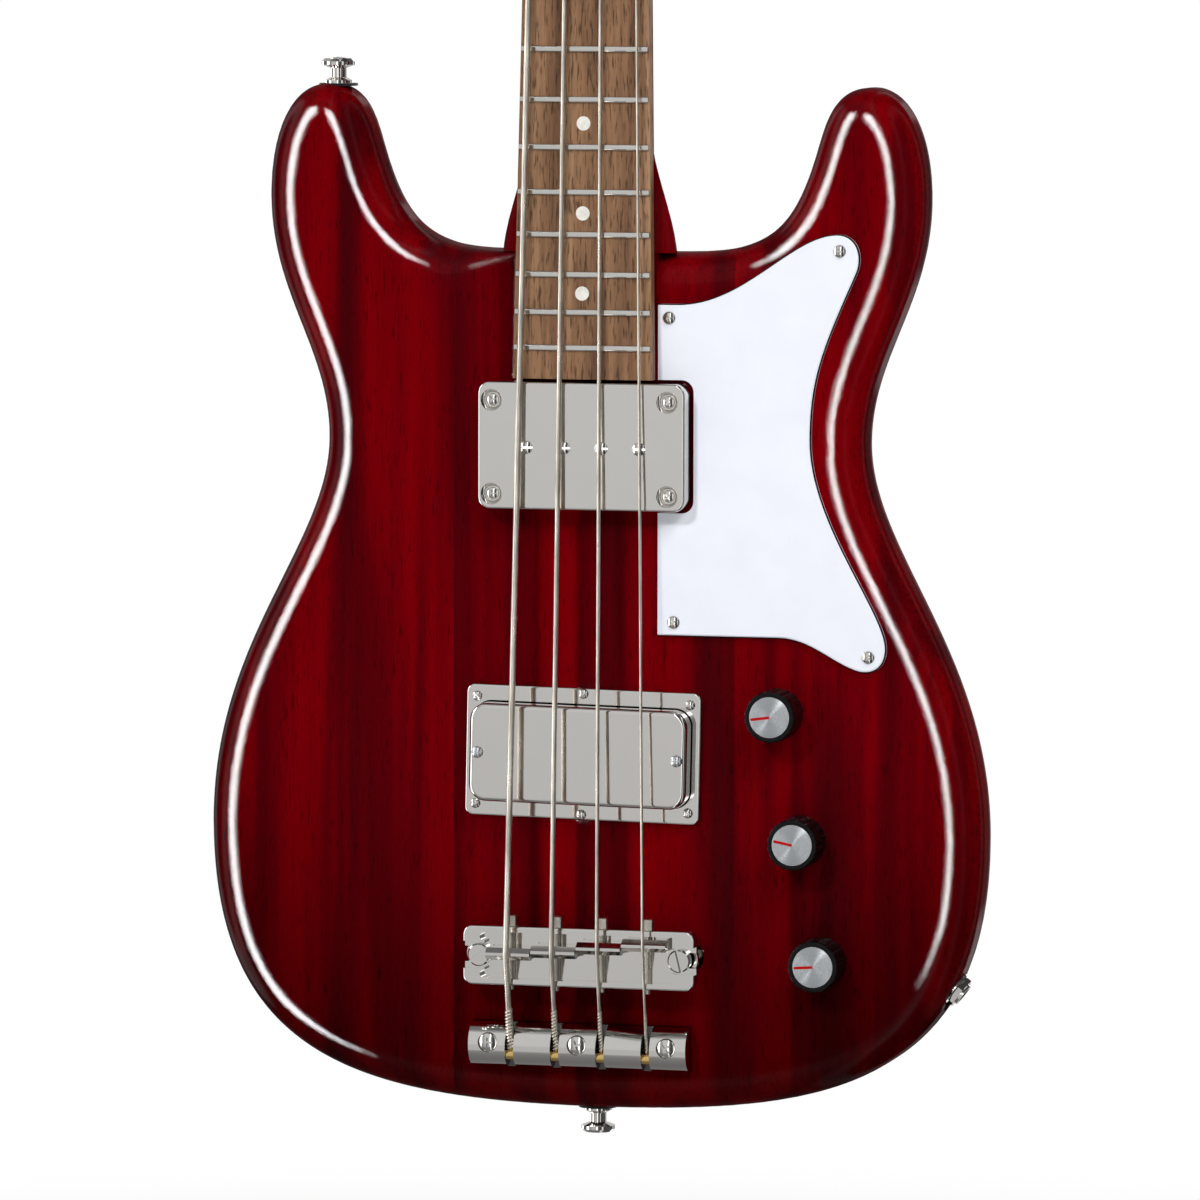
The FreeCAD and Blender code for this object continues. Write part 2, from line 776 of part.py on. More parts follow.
def make_body(shaft):
    room = size("hole_room")
    cutters = [shaft, screw_holes]
    coil_floor = size("neck_pickup_top") - size("neck_coil_height")
    cutters.append(block("neck_cavity", NECK_PICKUP * at(0, 0, coil_floor),
                         "neck_coil_width + 2 * coil_room", "neck_coil_length + 2 * coil_room",
                         "neck_coil_height", "neck_pickup_corner"))
    sunk = size("pickup_travel") + room
    ring_floor = size("pickup_top") - size("cover_wall") - size("pickup_coil_height") - sunk
    cutters.append(block("ring_cavity", RING * at(0, 0, ring_floor), "ring_inner_width", "ring_inner_length",
                         "pickup_coil_height", "ring_inner_corner"))
    cutters.append(block("control_cavity", BACK, "cavity_width", "cavity_length",
                         "body_thickness - cavity_roof", "cavity_corner"))
    cutters.append(block("cover_recess", BACK, "cavity_width + 2 * cavity_ledge",
                         "cavity_length + 2 * cavity_ledge", "cover_sink + cover_thickness", "cavity_corner"))
    for x, y in knob_places.values():
        cutters.append(cylinder("pot_hole", "pot_bushing", "2 * cavity_roof",
                                FACE * at(x, y, -1.5 * size("cavity_roof"))))
    bushing_depth = size("bridge_post_depth") + size("bridge_post_room")
    for x, y in bridge_post_places:
        cutters.append(cylinder("post_room", "bridge_post_stem + post_bushing_wall", "2 * bridge_post_depth",
                                FACE * at(x, y - size("bridge_place"), -bushing_depth)))
    for x, y in tail_screw_places:
        cutters.append(cylinder("tail_screw_room", "tail_screw_radius + fit", "2 * tail_screw_length",
                                TAIL * at(x, y, size("tail_height") - size("tail_screw_length") - room)))
    screw_floor = size("pickup_top") - size("pickup_screw_length") - sunk
    for x, y in pickup_screw_places:
        cutters.append(cylinder("pickup_screw_room", "pickup_screw_radius + fit", "pickup_screw_length",
                                RING * at(x, y, screw_floor)))
    for x, y in neck_screw_places:
        cutters.append(cylinder("neck_screw_room", "screw_radius + fit", "2 * screw_length",
                                NECK_PICKUP * at(x, y, -size("screw_length"))))
    cutters.append(cylinder("jack_flat", "jack_flat_radius", "jack_flat_radius", JACK))
    bore_depth = (jack_seat - lower_knob.x) / jack_direction.x
    cutters.append(cylinder("jack_room", "jack_barrel", str(bore_depth + room), JACK * at(0, 0, -bore_depth)))
    for frame in strap_frames:
        cutters.append(cylinder("button_seat", "felt_radius + fit", "felt_radius", frame))
        cutters.append(cylinder("button_screw_room", "button_bore", "button_screw_length + 2 * hole_room",
                                frame * at(0, 0, -size("button_screw_length"))))
    keep("body", cut("body", rounded_blank(), *cutters))


# Neck with heel, tenon and headstock

def draw_neck_section(body, place, half_width, depth, level):
    """A half ellipse hanging from a level line, across the neck at a distance from the nut."""
    sketch = sketch_on(body, "XZ_Plane", str(place))
    left = Vector(-half_width, level, 0)
    right = Vector(half_width, level, 0)
    middle = Vector(0, level, 0)
    sketch.addGeometry(Part.LineSegment(left, right), False)
    if half_width >= depth:
        ellipse = Part.Ellipse(middle, half_width, depth)
        sketch.addGeometry(Part.ArcOfEllipse(ellipse, math.pi, 2 * math.pi), False)
    else:
        ellipse = Part.Ellipse(Vector(0, level - depth, 0), right, middle)
        sketch.addGeometry(Part.ArcOfEllipse(ellipse, math.pi / 2, 3 * math.pi / 2), False)
    return sketch


def loft(body, sections, ruled):
    feature = body.newObject("PartDesign::AdditiveLoft", body.Name + "_loft")
    feature.Profile = sections[0]
    feature.Sections = sections[1:]
    feature.Ruled = ruled
    return feature


def head_outline(sketch):
    root = size("head_start_width") / 2
    root_y = -size("head_root")
    shoulder = size("head_shoulder_width") / 2
    end = size("head_end_width") / 2
    length = size("head_length")
    tip = end - size("head_corner_width")
    stops = [(root, root_y, 90), (shoulder, size("head_shoulder"), 90),
             (end, length - size("head_corner_length"), 90), (tip, length, 180)]
    for side in (-1, 1):
        draw_bends(sketch, stops, HEAD_PULLS, side)
    draw_line(sketch, (-root, root_y), (root, root_y))
    draw_line(sketch, (tip, length), (-tip, length))


def neck_shaft():
    """The shaft, the heel that widens to the body and the tenon."""
    neck = new_body("neck_shaft", NECK)
    joint = size("neck_joint_place")
    shaft_depth = size("neck_depth_heel")
    joint_half = board_width(joint) / 2
    nut_half = board_width(0) / 2
    loft(neck, [draw_neck_section(neck, -size("nut_thickness"), nut_half, size("neck_depth_nut"), 0),
                draw_neck_section(neck, joint, joint_half, shaft_depth, 0)], True)
    top = -joint * lean - glue_at_nut - size("heel_drop")
    half = size("heel_width") / 2
    depth = size("heel_depth")
    length = size("heel_length")
    rise = size("heel_rise")
    tuck = size("heel_tuck")
    loft(neck, [draw_neck_section(neck, joint - length, joint_half - tuck, shaft_depth - rise, top),
                draw_neck_section(neck, joint - length / 2, half - size("heel_flare"), shaft_depth, top),
                draw_neck_section(neck, joint - length / 6, half - size("heel_lip"), depth - rise, top),
                draw_neck_section(neck, joint, half, depth, top)], False)
    draw_tenon(neck)
    return neck


def make_neck(shaft):
    head = new_body("head_blank", HEAD)
    sketch = sketch_on(head)
    head_outline(sketch)
    feature = pad(head, sketch, "head_thickness", down=True)
    at_back = lies_at(-size("head_thickness"))
    round_edges(head, feature, lambda edge: at_back(edge) and edge.BoundBox.YMax > 0, "head_edge")
    cutters = [screw_holes]
    for x, y in post_places.values():
        cutters.append(cylinder("tuner_room", "bushing_radius", "head_thickness + 2 * hole_room",
                                HEAD * at(x, y, -size("head_thickness") - size("hole_room"))))
    channel = doc.addObject("Part::Box", "rod_channel")
    bind(channel, Length="2 * rod_radius + 2 * rod_wall", Width="rod_length + nut_thickness + rod_reach",
         Height="2 * rod_radius + 2 * rod_wall")
    channel.Placement = NECK * at(-size("rod_radius") - size("rod_wall"), -size("rod_length"),
                                  -2 * (size("rod_radius") + size("rod_wall")))
    cutters.append(channel)
    pocket_box = doc.addObject("Part::Box", "rod_pocket")
    bind(pocket_box, Length="rod_pocket_width", Width="rod_pocket_length", Height="rod_pocket_depth")
    pocket_box.Placement = HEAD * at(-size("rod_pocket_width") / 2, 0, -size("rod_pocket_depth"))
    cutters.append(pocket_box)
    keep("neck", cut("neck", fuse("neck_blank", shaft, head), *cutters))


# Fingerboard, frets, markers and nut

def make_board():
    prism = new_body("board_blank", NECK)
    sketch = sketch_on(prism)
    draw_polygon(sketch, [(-size("nut_width") / 2, 0), (size("nut_width") / 2, 0),
                          (size("board_end_width") / 2, -board_length),
                          (-size("board_end_width") / 2, -board_length)])
    pad(prism, sketch, "board_thickness")
    crown_frame = NECK * at(0, 0, size("board_thickness") - size("board_radius")) * facing(0, 1, 0, -ALONG)
    crown = cylinder("board_crown", "board_radius", "scale_length", crown_frame)
    crowned = doc.addObject("Part::Common", "board_crowned")
    crowned.Base = prism
    crowned.Tool = crown
    dot_frames = []
    for number in DOT_FRETS + (DOUBLE_DOT_FRET,):
        middle = (fret_place(number) + fret_place(number - 1)) / 2
        spread = size("dot_pair_spacing") / 2 if number == DOUBLE_DOT_FRET else 0
        for x in {-spread, spread}:
            dot_frames.append(NECK * at(x, -middle, size("board_thickness") - size("dot_depth")))
    dot = cylinder("dot", "dot_radius", "2 * dot_depth", at())
    dots = copies("dots", dot, dot_frames)
    markers = doc.addObject("Part::Common", "fret_markers")
    markers.Base = dots
    markers.Tool = crown
    keep("fret_markers", markers)
    keep("fingerboard", cut("fingerboard", crowned, dots))


def make_frets():
    """Crowned bars bent over the board's radius and cut to its width."""
    radius = size("board_radius")
    width = size("fret_width")
    crown = size("fret_crown")
    frets = []
    for number in range(1, int(size("fret_count")) + 1):
        place = fret_place(number)
        start = Vector(0, -place - width / 2, size("board_thickness") - radius)
        bar = Part.makeCylinder(radius + crown, width, start, ALONG).cut(
            Part.makeCylinder(radius, width, start, ALONG))
        span = board_width(place) - 2 * size("fret_inset")
        bar = bar.common(Part.makeBox(span, width, radius, Vector(-span / 2, start.y, 0))).Solids[0]
        long_edges = [edge for edge in bar.Edges if edge.BoundBox.XLength > span / 3]
        rims = [edge for edge in long_edges if edge.BoundBox.ZMax > size("board_thickness") + crown / 2]
        frets.append(bar.makeFillet(0.7 * crown, rims))
    item = doc.addObject("Part::Feature", "frets")
    item.Shape = Part.makeCompound(frets)
    item.Placement = NECK
    keep("frets", item)


def make_nut():
    blank = new_body("nut_blank", NECK)
    sketch = sketch_on(blank)
    draw_rectangle(sketch, "nut_width", "nut_thickness", 0, size("nut_thickness") / 2)
    feature = pad(blank, sketch, "nut_height")
    round_edges(blank, feature, lies_at(size("nut_height")), "nut_thickness / 5")
    room = size("hole_room")
    slots = []
    for number, name in enumerate(STRINGS):
        bore = f"string_diameter_{name} / 2 + face_gap"
        radius = size("string_diameter_" + name) / 2
        x = (number - 1.5) * size("nut_string_span") / 3
        level = size("nut_string_height") + radius
        slots.append(cylinder("nut_slot_" + name, bore, "nut_thickness + 2 * hole_room",
                              NECK * facing(x, -room, level, ALONG)))
        relief = doc.addObject("Part::Box", "nut_relief_" + name)
        bind(relief, Length=f"string_diameter_{name} + 2 * face_gap", Width="nut_thickness + 2 * hole_room",
             Height="nut_height")
        relief.Placement = NECK * at(x - radius - size("face_gap"), -room, level)
        slots.append(relief)
        start = nut_point(number, name)
        contact, _ = winding(name, start)
        slots.append(cylinder("nut_fall_" + name, bore, "nut_thickness", facing(*start, contact - start)))
    keep("nut", cut("nut", blank, *slots))


def make_truss_rod():
    depth = -size("rod_radius") - size("rod_wall")
    rod = cylinder("rod", "rod_radius", "rod_length", NECK * facing(0, 0, depth, -ALONG))
    nut_depth = -size("rod_nut_radius") - size("rod_cover_thickness") / 2
    nut_frame = HEAD * facing(0, size("rod_nut_start"), nut_depth, ALONG)
    nut = cylinder("rod_nut", "rod_nut_radius", "rod_nut_length", nut_frame)
    group = doc.addObject("Part::Compound", "truss_rod")
    group.Links = [rod, nut]
    keep("truss_rod", group)
    cover = block("rod_cover_blank", HEAD * at(0, rod_cover_middle, 0), "rod_cover_width", "rod_cover_length",
                  "rod_cover_thickness", "rod_cover_corner")
    keep("truss_rod_cover", cut("truss_rod_cover", cover, screw_holes))


# Pickups and pickguard

def make_neck_pickup():
    room = size("hole_room")
    shell = block("neck_pickup_blank", NECK_PICKUP, "neck_pickup_width", "neck_pickup_length",
                  "neck_pickup_height", "neck_pickup_corner", "neck_pickup_edge")
    hollow = block("neck_pickup_hollow", NECK_PICKUP * at(0, 0, -room), "neck_coil_width + 2 * coil_room",
                   "neck_coil_length + 2 * coil_room", "neck_pickup_height - neck_pickup_top + hole_room",
                   "neck_pickup_corner")
    top = size("neck_pickup_height")
    seat = top - size("neck_dish_depth")
    dish_radius = size("neck_dish_radius")
    dish_depth = size("neck_dish_depth")
    dish = turned("neck_dish", at(), [(0, 0), (size("neck_dish_floor"), 0), (dish_radius, dish_depth),
                                      (dish_radius, 2 * dish_depth), (0, 2 * dish_depth)])
    seats = [NECK_PICKUP * at(x, y, seat) for x, y in neck_screw_places]
    holes = [hollow, copies("neck_dishes", dish, seats)]
    for x, y in neck_screw_places:
        holes.append(cylinder("neck_screw_hole", "screw_radius + fit", "neck_pickup_height",
                              NECK_PICKUP * at(x, y, -room)))
    for x, y in pole_places:
        holes.append(cylinder("pole_hole", "pole_radius", "neck_pickup_height", NECK_PICKUP * at(x, y, room)))
    keep("neck_pickup_cover", cut("neck_pickup_cover", shell, *holes))
    long_length = size("screw_length") + seat - 2 * room
    long_screw = turned("neck_pickup_screw", at(), oval_screw_profile(long_length, size("screw_head")))
    keep("neck_pickup_screws", copies("neck_pickup_screws", long_screw, seats))
    radius = size("pole_radius")
    rim = size("pole_rise") * size("pole_rim_share")
    tip = -size("pole_length")
    pole = turned("pole", at(), [(0, tip), (radius, tip), (radius, rim),
                                 dome(radius, rim, size("pole_rise") - rim)])
    keep("neck_pickup_pole_screws", copies("neck_pickup_pole_screws", pole,
                                           [NECK_PICKUP * at(x, y, top) for x, y in pole_places]))
    coil_floor = top - size("neck_pickup_top") - size("neck_coil_height")
    coil = block("neck_coil", NECK_PICKUP * at(0, 0, coil_floor), "neck_coil_width", "neck_coil_length",
                 "neck_coil_height", "neck_pickup_corner")
    pole_rooms = [cylinder("pole_room", "pole_radius", "pole_length + hole_room",
                           NECK_PICKUP * at(x, y, top + tip)) for x, y in pole_places]
    keep("neck_pickup_coil", cut("neck_pickup_coil", coil, *pole_rooms))


def make_bridge_pickup():
    plate = block("ring_blank", RING, "ring_width", "ring_length", "ring_thickness", "ring_corner",
                  "ring_thickness / 3")
    window = block("ring_window", RING * at(0, 0, -size("hole_room")), "ring_inner_width",
                   "ring_inner_length", "ring_thickness + 2 * hole_room", "ring_inner_corner")
    keep("bridge_pickup_ring", cut("bridge_pickup_ring", plate, window, screw_holes))
    height = "pickup_top - pickup_drop"
    shell = block("pickup_blank", RING * at(0, 0, size("pickup_drop")), "ring_inner_width - 2 * ring_gap",
                  "ring_inner_length - 2 * ring_gap", height, "ring_inner_corner - ring_gap", "pickup_edge")
    hollow = block("pickup_hollow", RING * at(0, 0, -size("hole_room")),
                   "ring_inner_width - 2 * ring_gap - 2 * cover_wall",
                   "ring_inner_length - 2 * ring_gap - 2 * cover_wall", "pickup_top - cover_wall + hole_room",
                   "ring_inner_corner - ring_gap - cover_wall", "pickup_edge - cover_wall")
    holes = [cylinder("pickup_screw_hole", "pickup_screw_radius + fit", "2 * pickup_top", RING * at(x, y, 0))
             for x, y in pickup_screw_places]
    keep("bridge_pickup_cover", cut("bridge_pickup_cover", shell, hollow, *holes))
    coil_frame = RING * at(0, 0, size("pickup_top") - size("cover_wall") - size("pickup_coil_height"))
    keep("bridge_pickup_coil", block("bridge_pickup_coil", coil_frame, "pickup_coil_width",
                                     "pickup_coil_length", "pickup_coil_height", "ring_inner_corner / 2"))
    radius = size("pickup_screw_radius")
    head = size("pickup_screw_head")
    rim = size("pickup_screw_rim")
    tip = -size("pickup_screw_length")
    profile = [(0, tip), (radius, tip + radius), (radius, 0), (head, 0), (head, rim),
               dome(head, rim, size("pickup_screw_dome"))]
    for name, (x, y) in zip(("bass", "treble"), pickup_screw_places):
        frame = RING * at(x, y, size("pickup_top") + size("face_gap"))
        keep("pickup_height_screw_" + name, turned("pickup_height_screw_" + name, frame, profile))


def draw_guard(sketch, inset):
    """The pickguard's outline, drawn in by an inset except along the fingerboard and the pickup."""
    top = -size("guard_top") - inset
    bottom = -size("guard_bottom") + inset
    notch = size("neck_pickup_width") / 2 + size("guard_notch_gap")
    notch_half = size("neck_pickup_length") / 2 + size("guard_notch_gap")
    notch_round = size("neck_pickup_corner")
    arc_rise = notch_round * (1 - math.sqrt(0.5))
    horn_y = -size("guard_horn_place") - inset
    flank = guard_horn + size("guard_horn_radius") - inset
    flank_y = horn_y - 2 * size("guard_horn_radius") + inset
    flank_turn = 270 - size("guard_flank_lean")
    toe = guard_tail - size("guard_toe_length")
    toe_y = -size("guard_tail_place") - size("guard_toe_drop") + inset
    heel = toe - size("guard_toe_sweep")
    horn_root = guard_side + size("guard_horn_radius")
    for way, far, end in ((-1, bottom, heel), (1, top, horn_root)):
        edge = way * notch_half - neck_pickup_place
        draw_line(sketch, (end, far), (guard_side, far))
        draw_line(sketch, (guard_side, far), (guard_side, edge))
        draw_line(sketch, (guard_side, edge), (notch - notch_round, edge))
        draw_arc(sketch, (notch - notch_round, edge), (notch - arc_rise, edge - way * arc_rise),
                 (notch, edge - way * notch_round))
    straight = notch_half - notch_round
    draw_line(sketch, (notch, straight - neck_pickup_place), (notch, -straight - neck_pickup_place))
    stops = [(horn_root, top, 0), (guard_horn, horn_y, 0), (flank, flank_y, flank_turn),
             (guard_waist - inset, -size("guard_waist_place"), 270),
             (guard_tail - inset, -size("guard_tail_place"), 270),
             (toe, toe_y, 180 - size("guard_toe_lean")), (heel, bottom, 180)]
    draw_bends(sketch, stops, GUARD_PULLS)


def make_pickguard():
    guard = new_body("guard_blank", FACE)
    flat = sketch_on(guard)
    draw_guard(flat, 0)
    pad(guard, flat, "guard_thickness - guard_bevel")
    lower = sketch_on(guard, "XY_Plane", "guard_thickness - guard_bevel")
    draw_guard(lower, 0)
    upper = sketch_on(guard, "XY_Plane", "guard_thickness")
    draw_guard(upper, size("guard_bevel"))
    loft(guard, [lower, upper], True)
    keep("pickguard", cut("pickguard", guard, screw_holes))


# Bridge and tailpiece

def make_bridge():
    tray_length = "bridge_length - 2 * bridge_wall"
    frame = block("bridge_blank", BRIDGE, "bridge_width", "bridge_length", "bridge_height", "bridge_corner",
                  "bridge_wall / 3")
    tray = block("bridge_tray", BRIDGE * at(0, 0, size("bridge_floor")), "bridge_tray_width", tray_length,
                 "bridge_height", "saddle_gap / 2")
    tools = [tray]
    for x, y in bridge_post_places:
        tools += fork_tools(x, "bridge_post_waist + fit", -size("bridge_height"))
        tools += fork_tools(x, "bridge_post_head + bridge_post_recess", size("bridge_floor"))
    notch_x = bridge_post_places[0][0] + size("bridge_notch_x")
    for side in (-1, 1):
        tools.append(cylinder("fork_notch", "bridge_notch_radius", "bridge_height",
                              BRIDGE * at(notch_x, side * size("bridge_notch_y"), size("bridge_floor"))))
    for x, y in saddle_places.values():
        tools.append(cylinder("screw_way", "saddle_screw_radius + fit", "2 * bridge_length",
                              BRIDGE * facing(x, -size("bridge_length"), size("saddle_screw_height"), ALONG)))
    keep("bridge_frame", cut("bridge_frame", frame, *tools))
    for name, (x, y) in saddle_places.items():
        make_saddle(name, x, y)
        make_saddle_screw(name, x)
    for name, (x, y) in zip(("bass", "treble"), bridge_post_places):
        make_bridge_post(name, BRIDGE * at(x, y, 0))
    stem = size("bridge_post_stem")
    outer = stem + size("post_bushing_wall")
    rim = outer + size("post_bushing_flange")
    bore = stem + size("fit")
    low = -size("bridge_post_depth") - size("bridge_post_room")
    top = size("post_bushing_rim")
    bushing = turned("post_bushing", at(), [(bore, low), (outer, low), (outer, 0), (rim, 0), (rim, top),
                                            (bore, top)])
    keep("bridge_post_bushings", copies("bridge_post_bushings", bushing,
                                        [FACE * at(x, y - size("bridge_place"), 0)
                                         for x, y in bridge_post_places]))


def fork_tools(x, radius, low):
    """A round-ended slot from a post out through the end of the frame."""
    half = evaluate(radius)
    mouth = doc.addObject("Part::Box", "fork_mouth")
    bind(mouth, Length="bridge_width / 2", Width=f"2 * ({radius})", Height="2 * bridge_height")
    mouth.Placement = BRIDGE * at(x if x > 0 else x - size("bridge_width") / 2, -half, low)
    return [cylinder("fork_end", radius, "2 * bridge_height", BRIDGE * at(x, 0, low)), mouth]


def make_saddle(name, x, y):
    """A bar across its string, its ridge just under the string."""
    saddle = new_body("saddle_blank_" + name, BRIDGE * at(x, y, 0))
    width = "saddle_spacing - saddle_gap"
    half = size("saddle_length") / 2
    ridge = size("saddle_ridge") / 2
    floor = size("bridge_floor") + size("face_gap")
    step = size("saddle_step")
    shoulder = size("saddle_shoulder")
    string_under = size("string_height") - size("string_diameter_" + name) / 2
    top = string_under - size("string_gap") - size("bridge_bottom")
    upper = sketch_on(saddle, "YZ_Plane", f"-({width}) / 2")
    draw_polygon(upper, [(-half, step), (half, step), (half, shoulder), (ridge, top), (-ridge, top),
                         (-half, shoulder)])
    pad(saddle, upper, width)
    lower = sketch_on(saddle, "YZ_Plane", f"saddle_overhang - ({width}) / 2")
    draw_polygon(lower, [(-half, floor), (half, floor), (half, step), (-half, step)])
    pad(saddle, lower, f"{width} - 2 * saddle_overhang")
    hole = cylinder("saddle_hole_" + name, "saddle_screw_radius + fit", "2 * saddle_length",
                    BRIDGE * facing(x, y - size("saddle_length"), size("saddle_screw_height"), ALONG))
    keep("saddle_" + name, cut("saddle_" + name, saddle, hole))


def make_saddle_screw(name, x):
    """A long screw through both walls, its square head on the neck side."""
    half = size("bridge_length") / 2
    head_start = half + size("face_gap")
    frame = BRIDGE * facing(x, head_start, size("saddle_screw_height"), -ALONG)
    screw = new_body("saddle_screw_" + name, frame)
    shank = sketch_on(screw)
    draw_circle(shank, "saddle_screw_radius")
    pad(screw, shank, "bridge_length + face_gap + saddle_screw_nub")
    head = sketch_on(screw)
    draw_rectangle(head, "saddle_screw_head", "saddle_screw_head")
    pad(screw, head, "saddle_screw_head_length", down=True)
    keep("saddle_screw_" + name, screw)


def make_bridge_post(name, frame):
    waist = size("bridge_post_waist")
    head = size("bridge_post_head")
    flange = size("bridge_post_flange")
    stem = size("bridge_post_stem")
    chamfer = size("bridge_post_chamfer")
    under = -size("face_gap")
    seat = size("bridge_floor") + size("face_gap")
    crown = seat + size("bridge_post_head_height")
    low = under - size("bridge_post_flange_height")
    tip = -size("bridge_bottom") - size("bridge_post_depth")
    post = turned("bridge_post_blank_" + name, frame, [
        (0, tip), (stem, tip), (stem, low), (flange, low), (flange, under), (waist, under), (waist, seat),
        (head, seat), (head, crown - chamfer), (head - chamfer, crown), (0, crown)])
    slot = doc.addObject("Part::Box", "bridge_post_slot_" + name)
    bind(slot, Length="3 * bridge_post_head", Width="bridge_post_slot", Height="2 * bridge_post_slot_depth")
    slot_floor = crown - size("bridge_post_slot_depth")
    turn = size("bridge_post_slot_turn_" + name)
    slot.Placement = frame * at(0, 0, slot_floor, turn) * at(-1.5 * head, -size("bridge_post_slot") / 2, 0)
    keep("bridge_post_" + name, cut("bridge_post_" + name, post, slot))


def make_tailpiece():
    """An arched bar with a through slot for each string and a pocket across it for the string's ball."""
    bar = new_body("tail_blank", TAIL)
    sketch = sketch_on(bar, "YZ_Plane", "-tail_width / 2")
    half = size("tail_length") / 2
    edge = size("tail_edge")
    draw_arc(sketch, (half, edge), (0, size("tail_height")), (-half, edge))
    draw_line(sketch, (-half, edge), (-half, 0))
    draw_line(sketch, (-half, 0), (half, 0))
    draw_line(sketch, (half, 0), (half, edge))
    pad(bar, sketch, "tail_width")
    tools = []
    for number, name in enumerate(STRINGS):
        ball = ball_point(number)
        run = TAIL.inverse().multVec(saddle_point(name)) - ball
        turn = -math.degrees(math.atan2(run.x, run.y))
        way = doc.addObject("Part::Box", "tail_slot_" + name)
        bind(way, Length="tail_slot", Width="2 * tail_length", Height="tail_height")
        way.Placement = TAIL * at(ball.x, ball.y, size("tail_slot_floor"), turn) * at(
            -size("tail_slot") / 2, -size("tail_length"), 0)
        reach = size("ball_length") / 2 + size("ball_gap")
        pocket_end = ball.x - reach
        tools += [way, cylinder("ball_pocket_" + name, "ball_radius + ball_gap", "ball_length + 2 * ball_gap",
                                TAIL * facing(pocket_end, ball.y, ball.z, ACROSS))]
        throat = doc.addObject("Part::Box", "ball_throat_" + name)
        bind(throat, Length="ball_length + 2 * ball_gap", Width="2 * (ball_radius + ball_gap)",
             Height="2 * tail_ball_height")
        throat.Placement = TAIL * at(pocket_end, ball.y - size("ball_radius") - size("ball_gap"), -ball.z)
        tools.append(throat)
    seat = size("tail_height") - size("tail_screw_head_height")
    for x, y in tail_screw_places:
        tools.append(cylinder("tail_head_room", "tail_screw_head + face_gap", "tail_height",
                              TAIL * at(x, y, seat)))
        tools.append(cylinder("tail_screw_hole", "tail_screw_radius + fit", "2 * tail_height",
                              TAIL * at(x, y, -size("hole_room"))))
    keep("tailpiece", cut("tailpiece", bar, *tools))
    radius = size("tail_screw_radius")
    head = size("tail_screw_head")
    crown = size("tail_screw_dome")
    tip = size("tail_screw_head_height") - size("tail_screw_length")
    rim = size("tail_screw_head_height") + size("tail_screw_proud") - crown
    screw = turned("tail_screw", at(), [(0, tip), (radius, tip + radius), (radius, 0), (head, 0), (head, rim),
                                        dome(head, rim, crown)])
    keep("tailpiece_screws", copies("tailpiece_screws", screw,
                                    [TAIL * at(x, y, seat) for x, y in tail_screw_places]))
    ball = cylinder("ball", "ball_radius", "ball_length", at())
    end = facing(-size("ball_length") / 2, 0, 0, ACROSS)
    ball_frames = [TAIL * at(*ball_point(number)) * end for number in range(len(STRINGS))]
    keep("string_ball_ends", copies("string_ball_ends", ball, ball_frames))


def ball_point(number):
    """The middle of a string's ball, in the tailpiece's frame."""
    x = (number - 1.5) * size("saddle_spacing")
    return Vector(x, -size("tail_ball_offset"), size("tail_ball_height"))


def saddle_point(name):
    """The corner of a string's route over its saddle."""
    x, y = saddle_places[name]
    return FACE.multVec(Vector(x, y - size("bridge_place"), size("string_height")))


# Strings, each in one length from its ball end to the winding on its tuner post

def biarc(start, start_way, end, end_way):
    """Two arcs that leave the start and meet the end along the given directions."""
    chord = end - start
    ways = start_way + end_way
    spread = 2 * (1 - start_way.dot(end_way))
    reach = (math.sqrt(chord.dot(ways) ** 2 + spread * chord.dot(chord)) - chord.dot(ways)) / spread
    first = start + start_way * reach
    second = end - end_way * reach
    joint = (first + second) / 2
    return [tangent_arc(start, first, joint), tangent_arc(joint, second, end)]


def tangent_arc(start, corner, end):
    """The arc between two points whose end tangents meet in the corner."""
    middle = (start + end) / 2
    rise = corner - middle
    half_chord = (end - start).Length / 2
    half_turn = math.atan2(rise.Length, half_chord)
    top = middle + rise.normalize() * half_chord * math.tan(half_turn / 2)
    return Part.Arc(start, top, end).toShape()


def rounded_route(points, radius):
    """Straight runs through the points with tangent arcs at the bends."""
    edges = []
    start = points[0]
    for before, corner, after in zip(points, points[1:], points[2:]):
        way_in = (corner - before).normalize()
        way_out = (after - corner).normalize()
        reach = radius * math.tan(way_in.getAngle(way_out) / 2)
        arc_start = corner - way_in * reach
        arc_end = corner + way_out * reach
        edges.append(Part.makeLine(start, arc_start))
        edges.append(tangent_arc(arc_start, corner, arc_end))
        start = arc_end
    edges.append(Part.makeLine(start, points[-1]))
    return edges


def nut_point(number, name):
    """The middle of a string in its slot of the nut."""
    x = (number - 1.5) * size("nut_string_span") / 3
    return NECK.multVec(Vector(x, size("nut_thickness") / 2,
                               size("nut_string_height") + size("string_diameter_" + name) / 2))


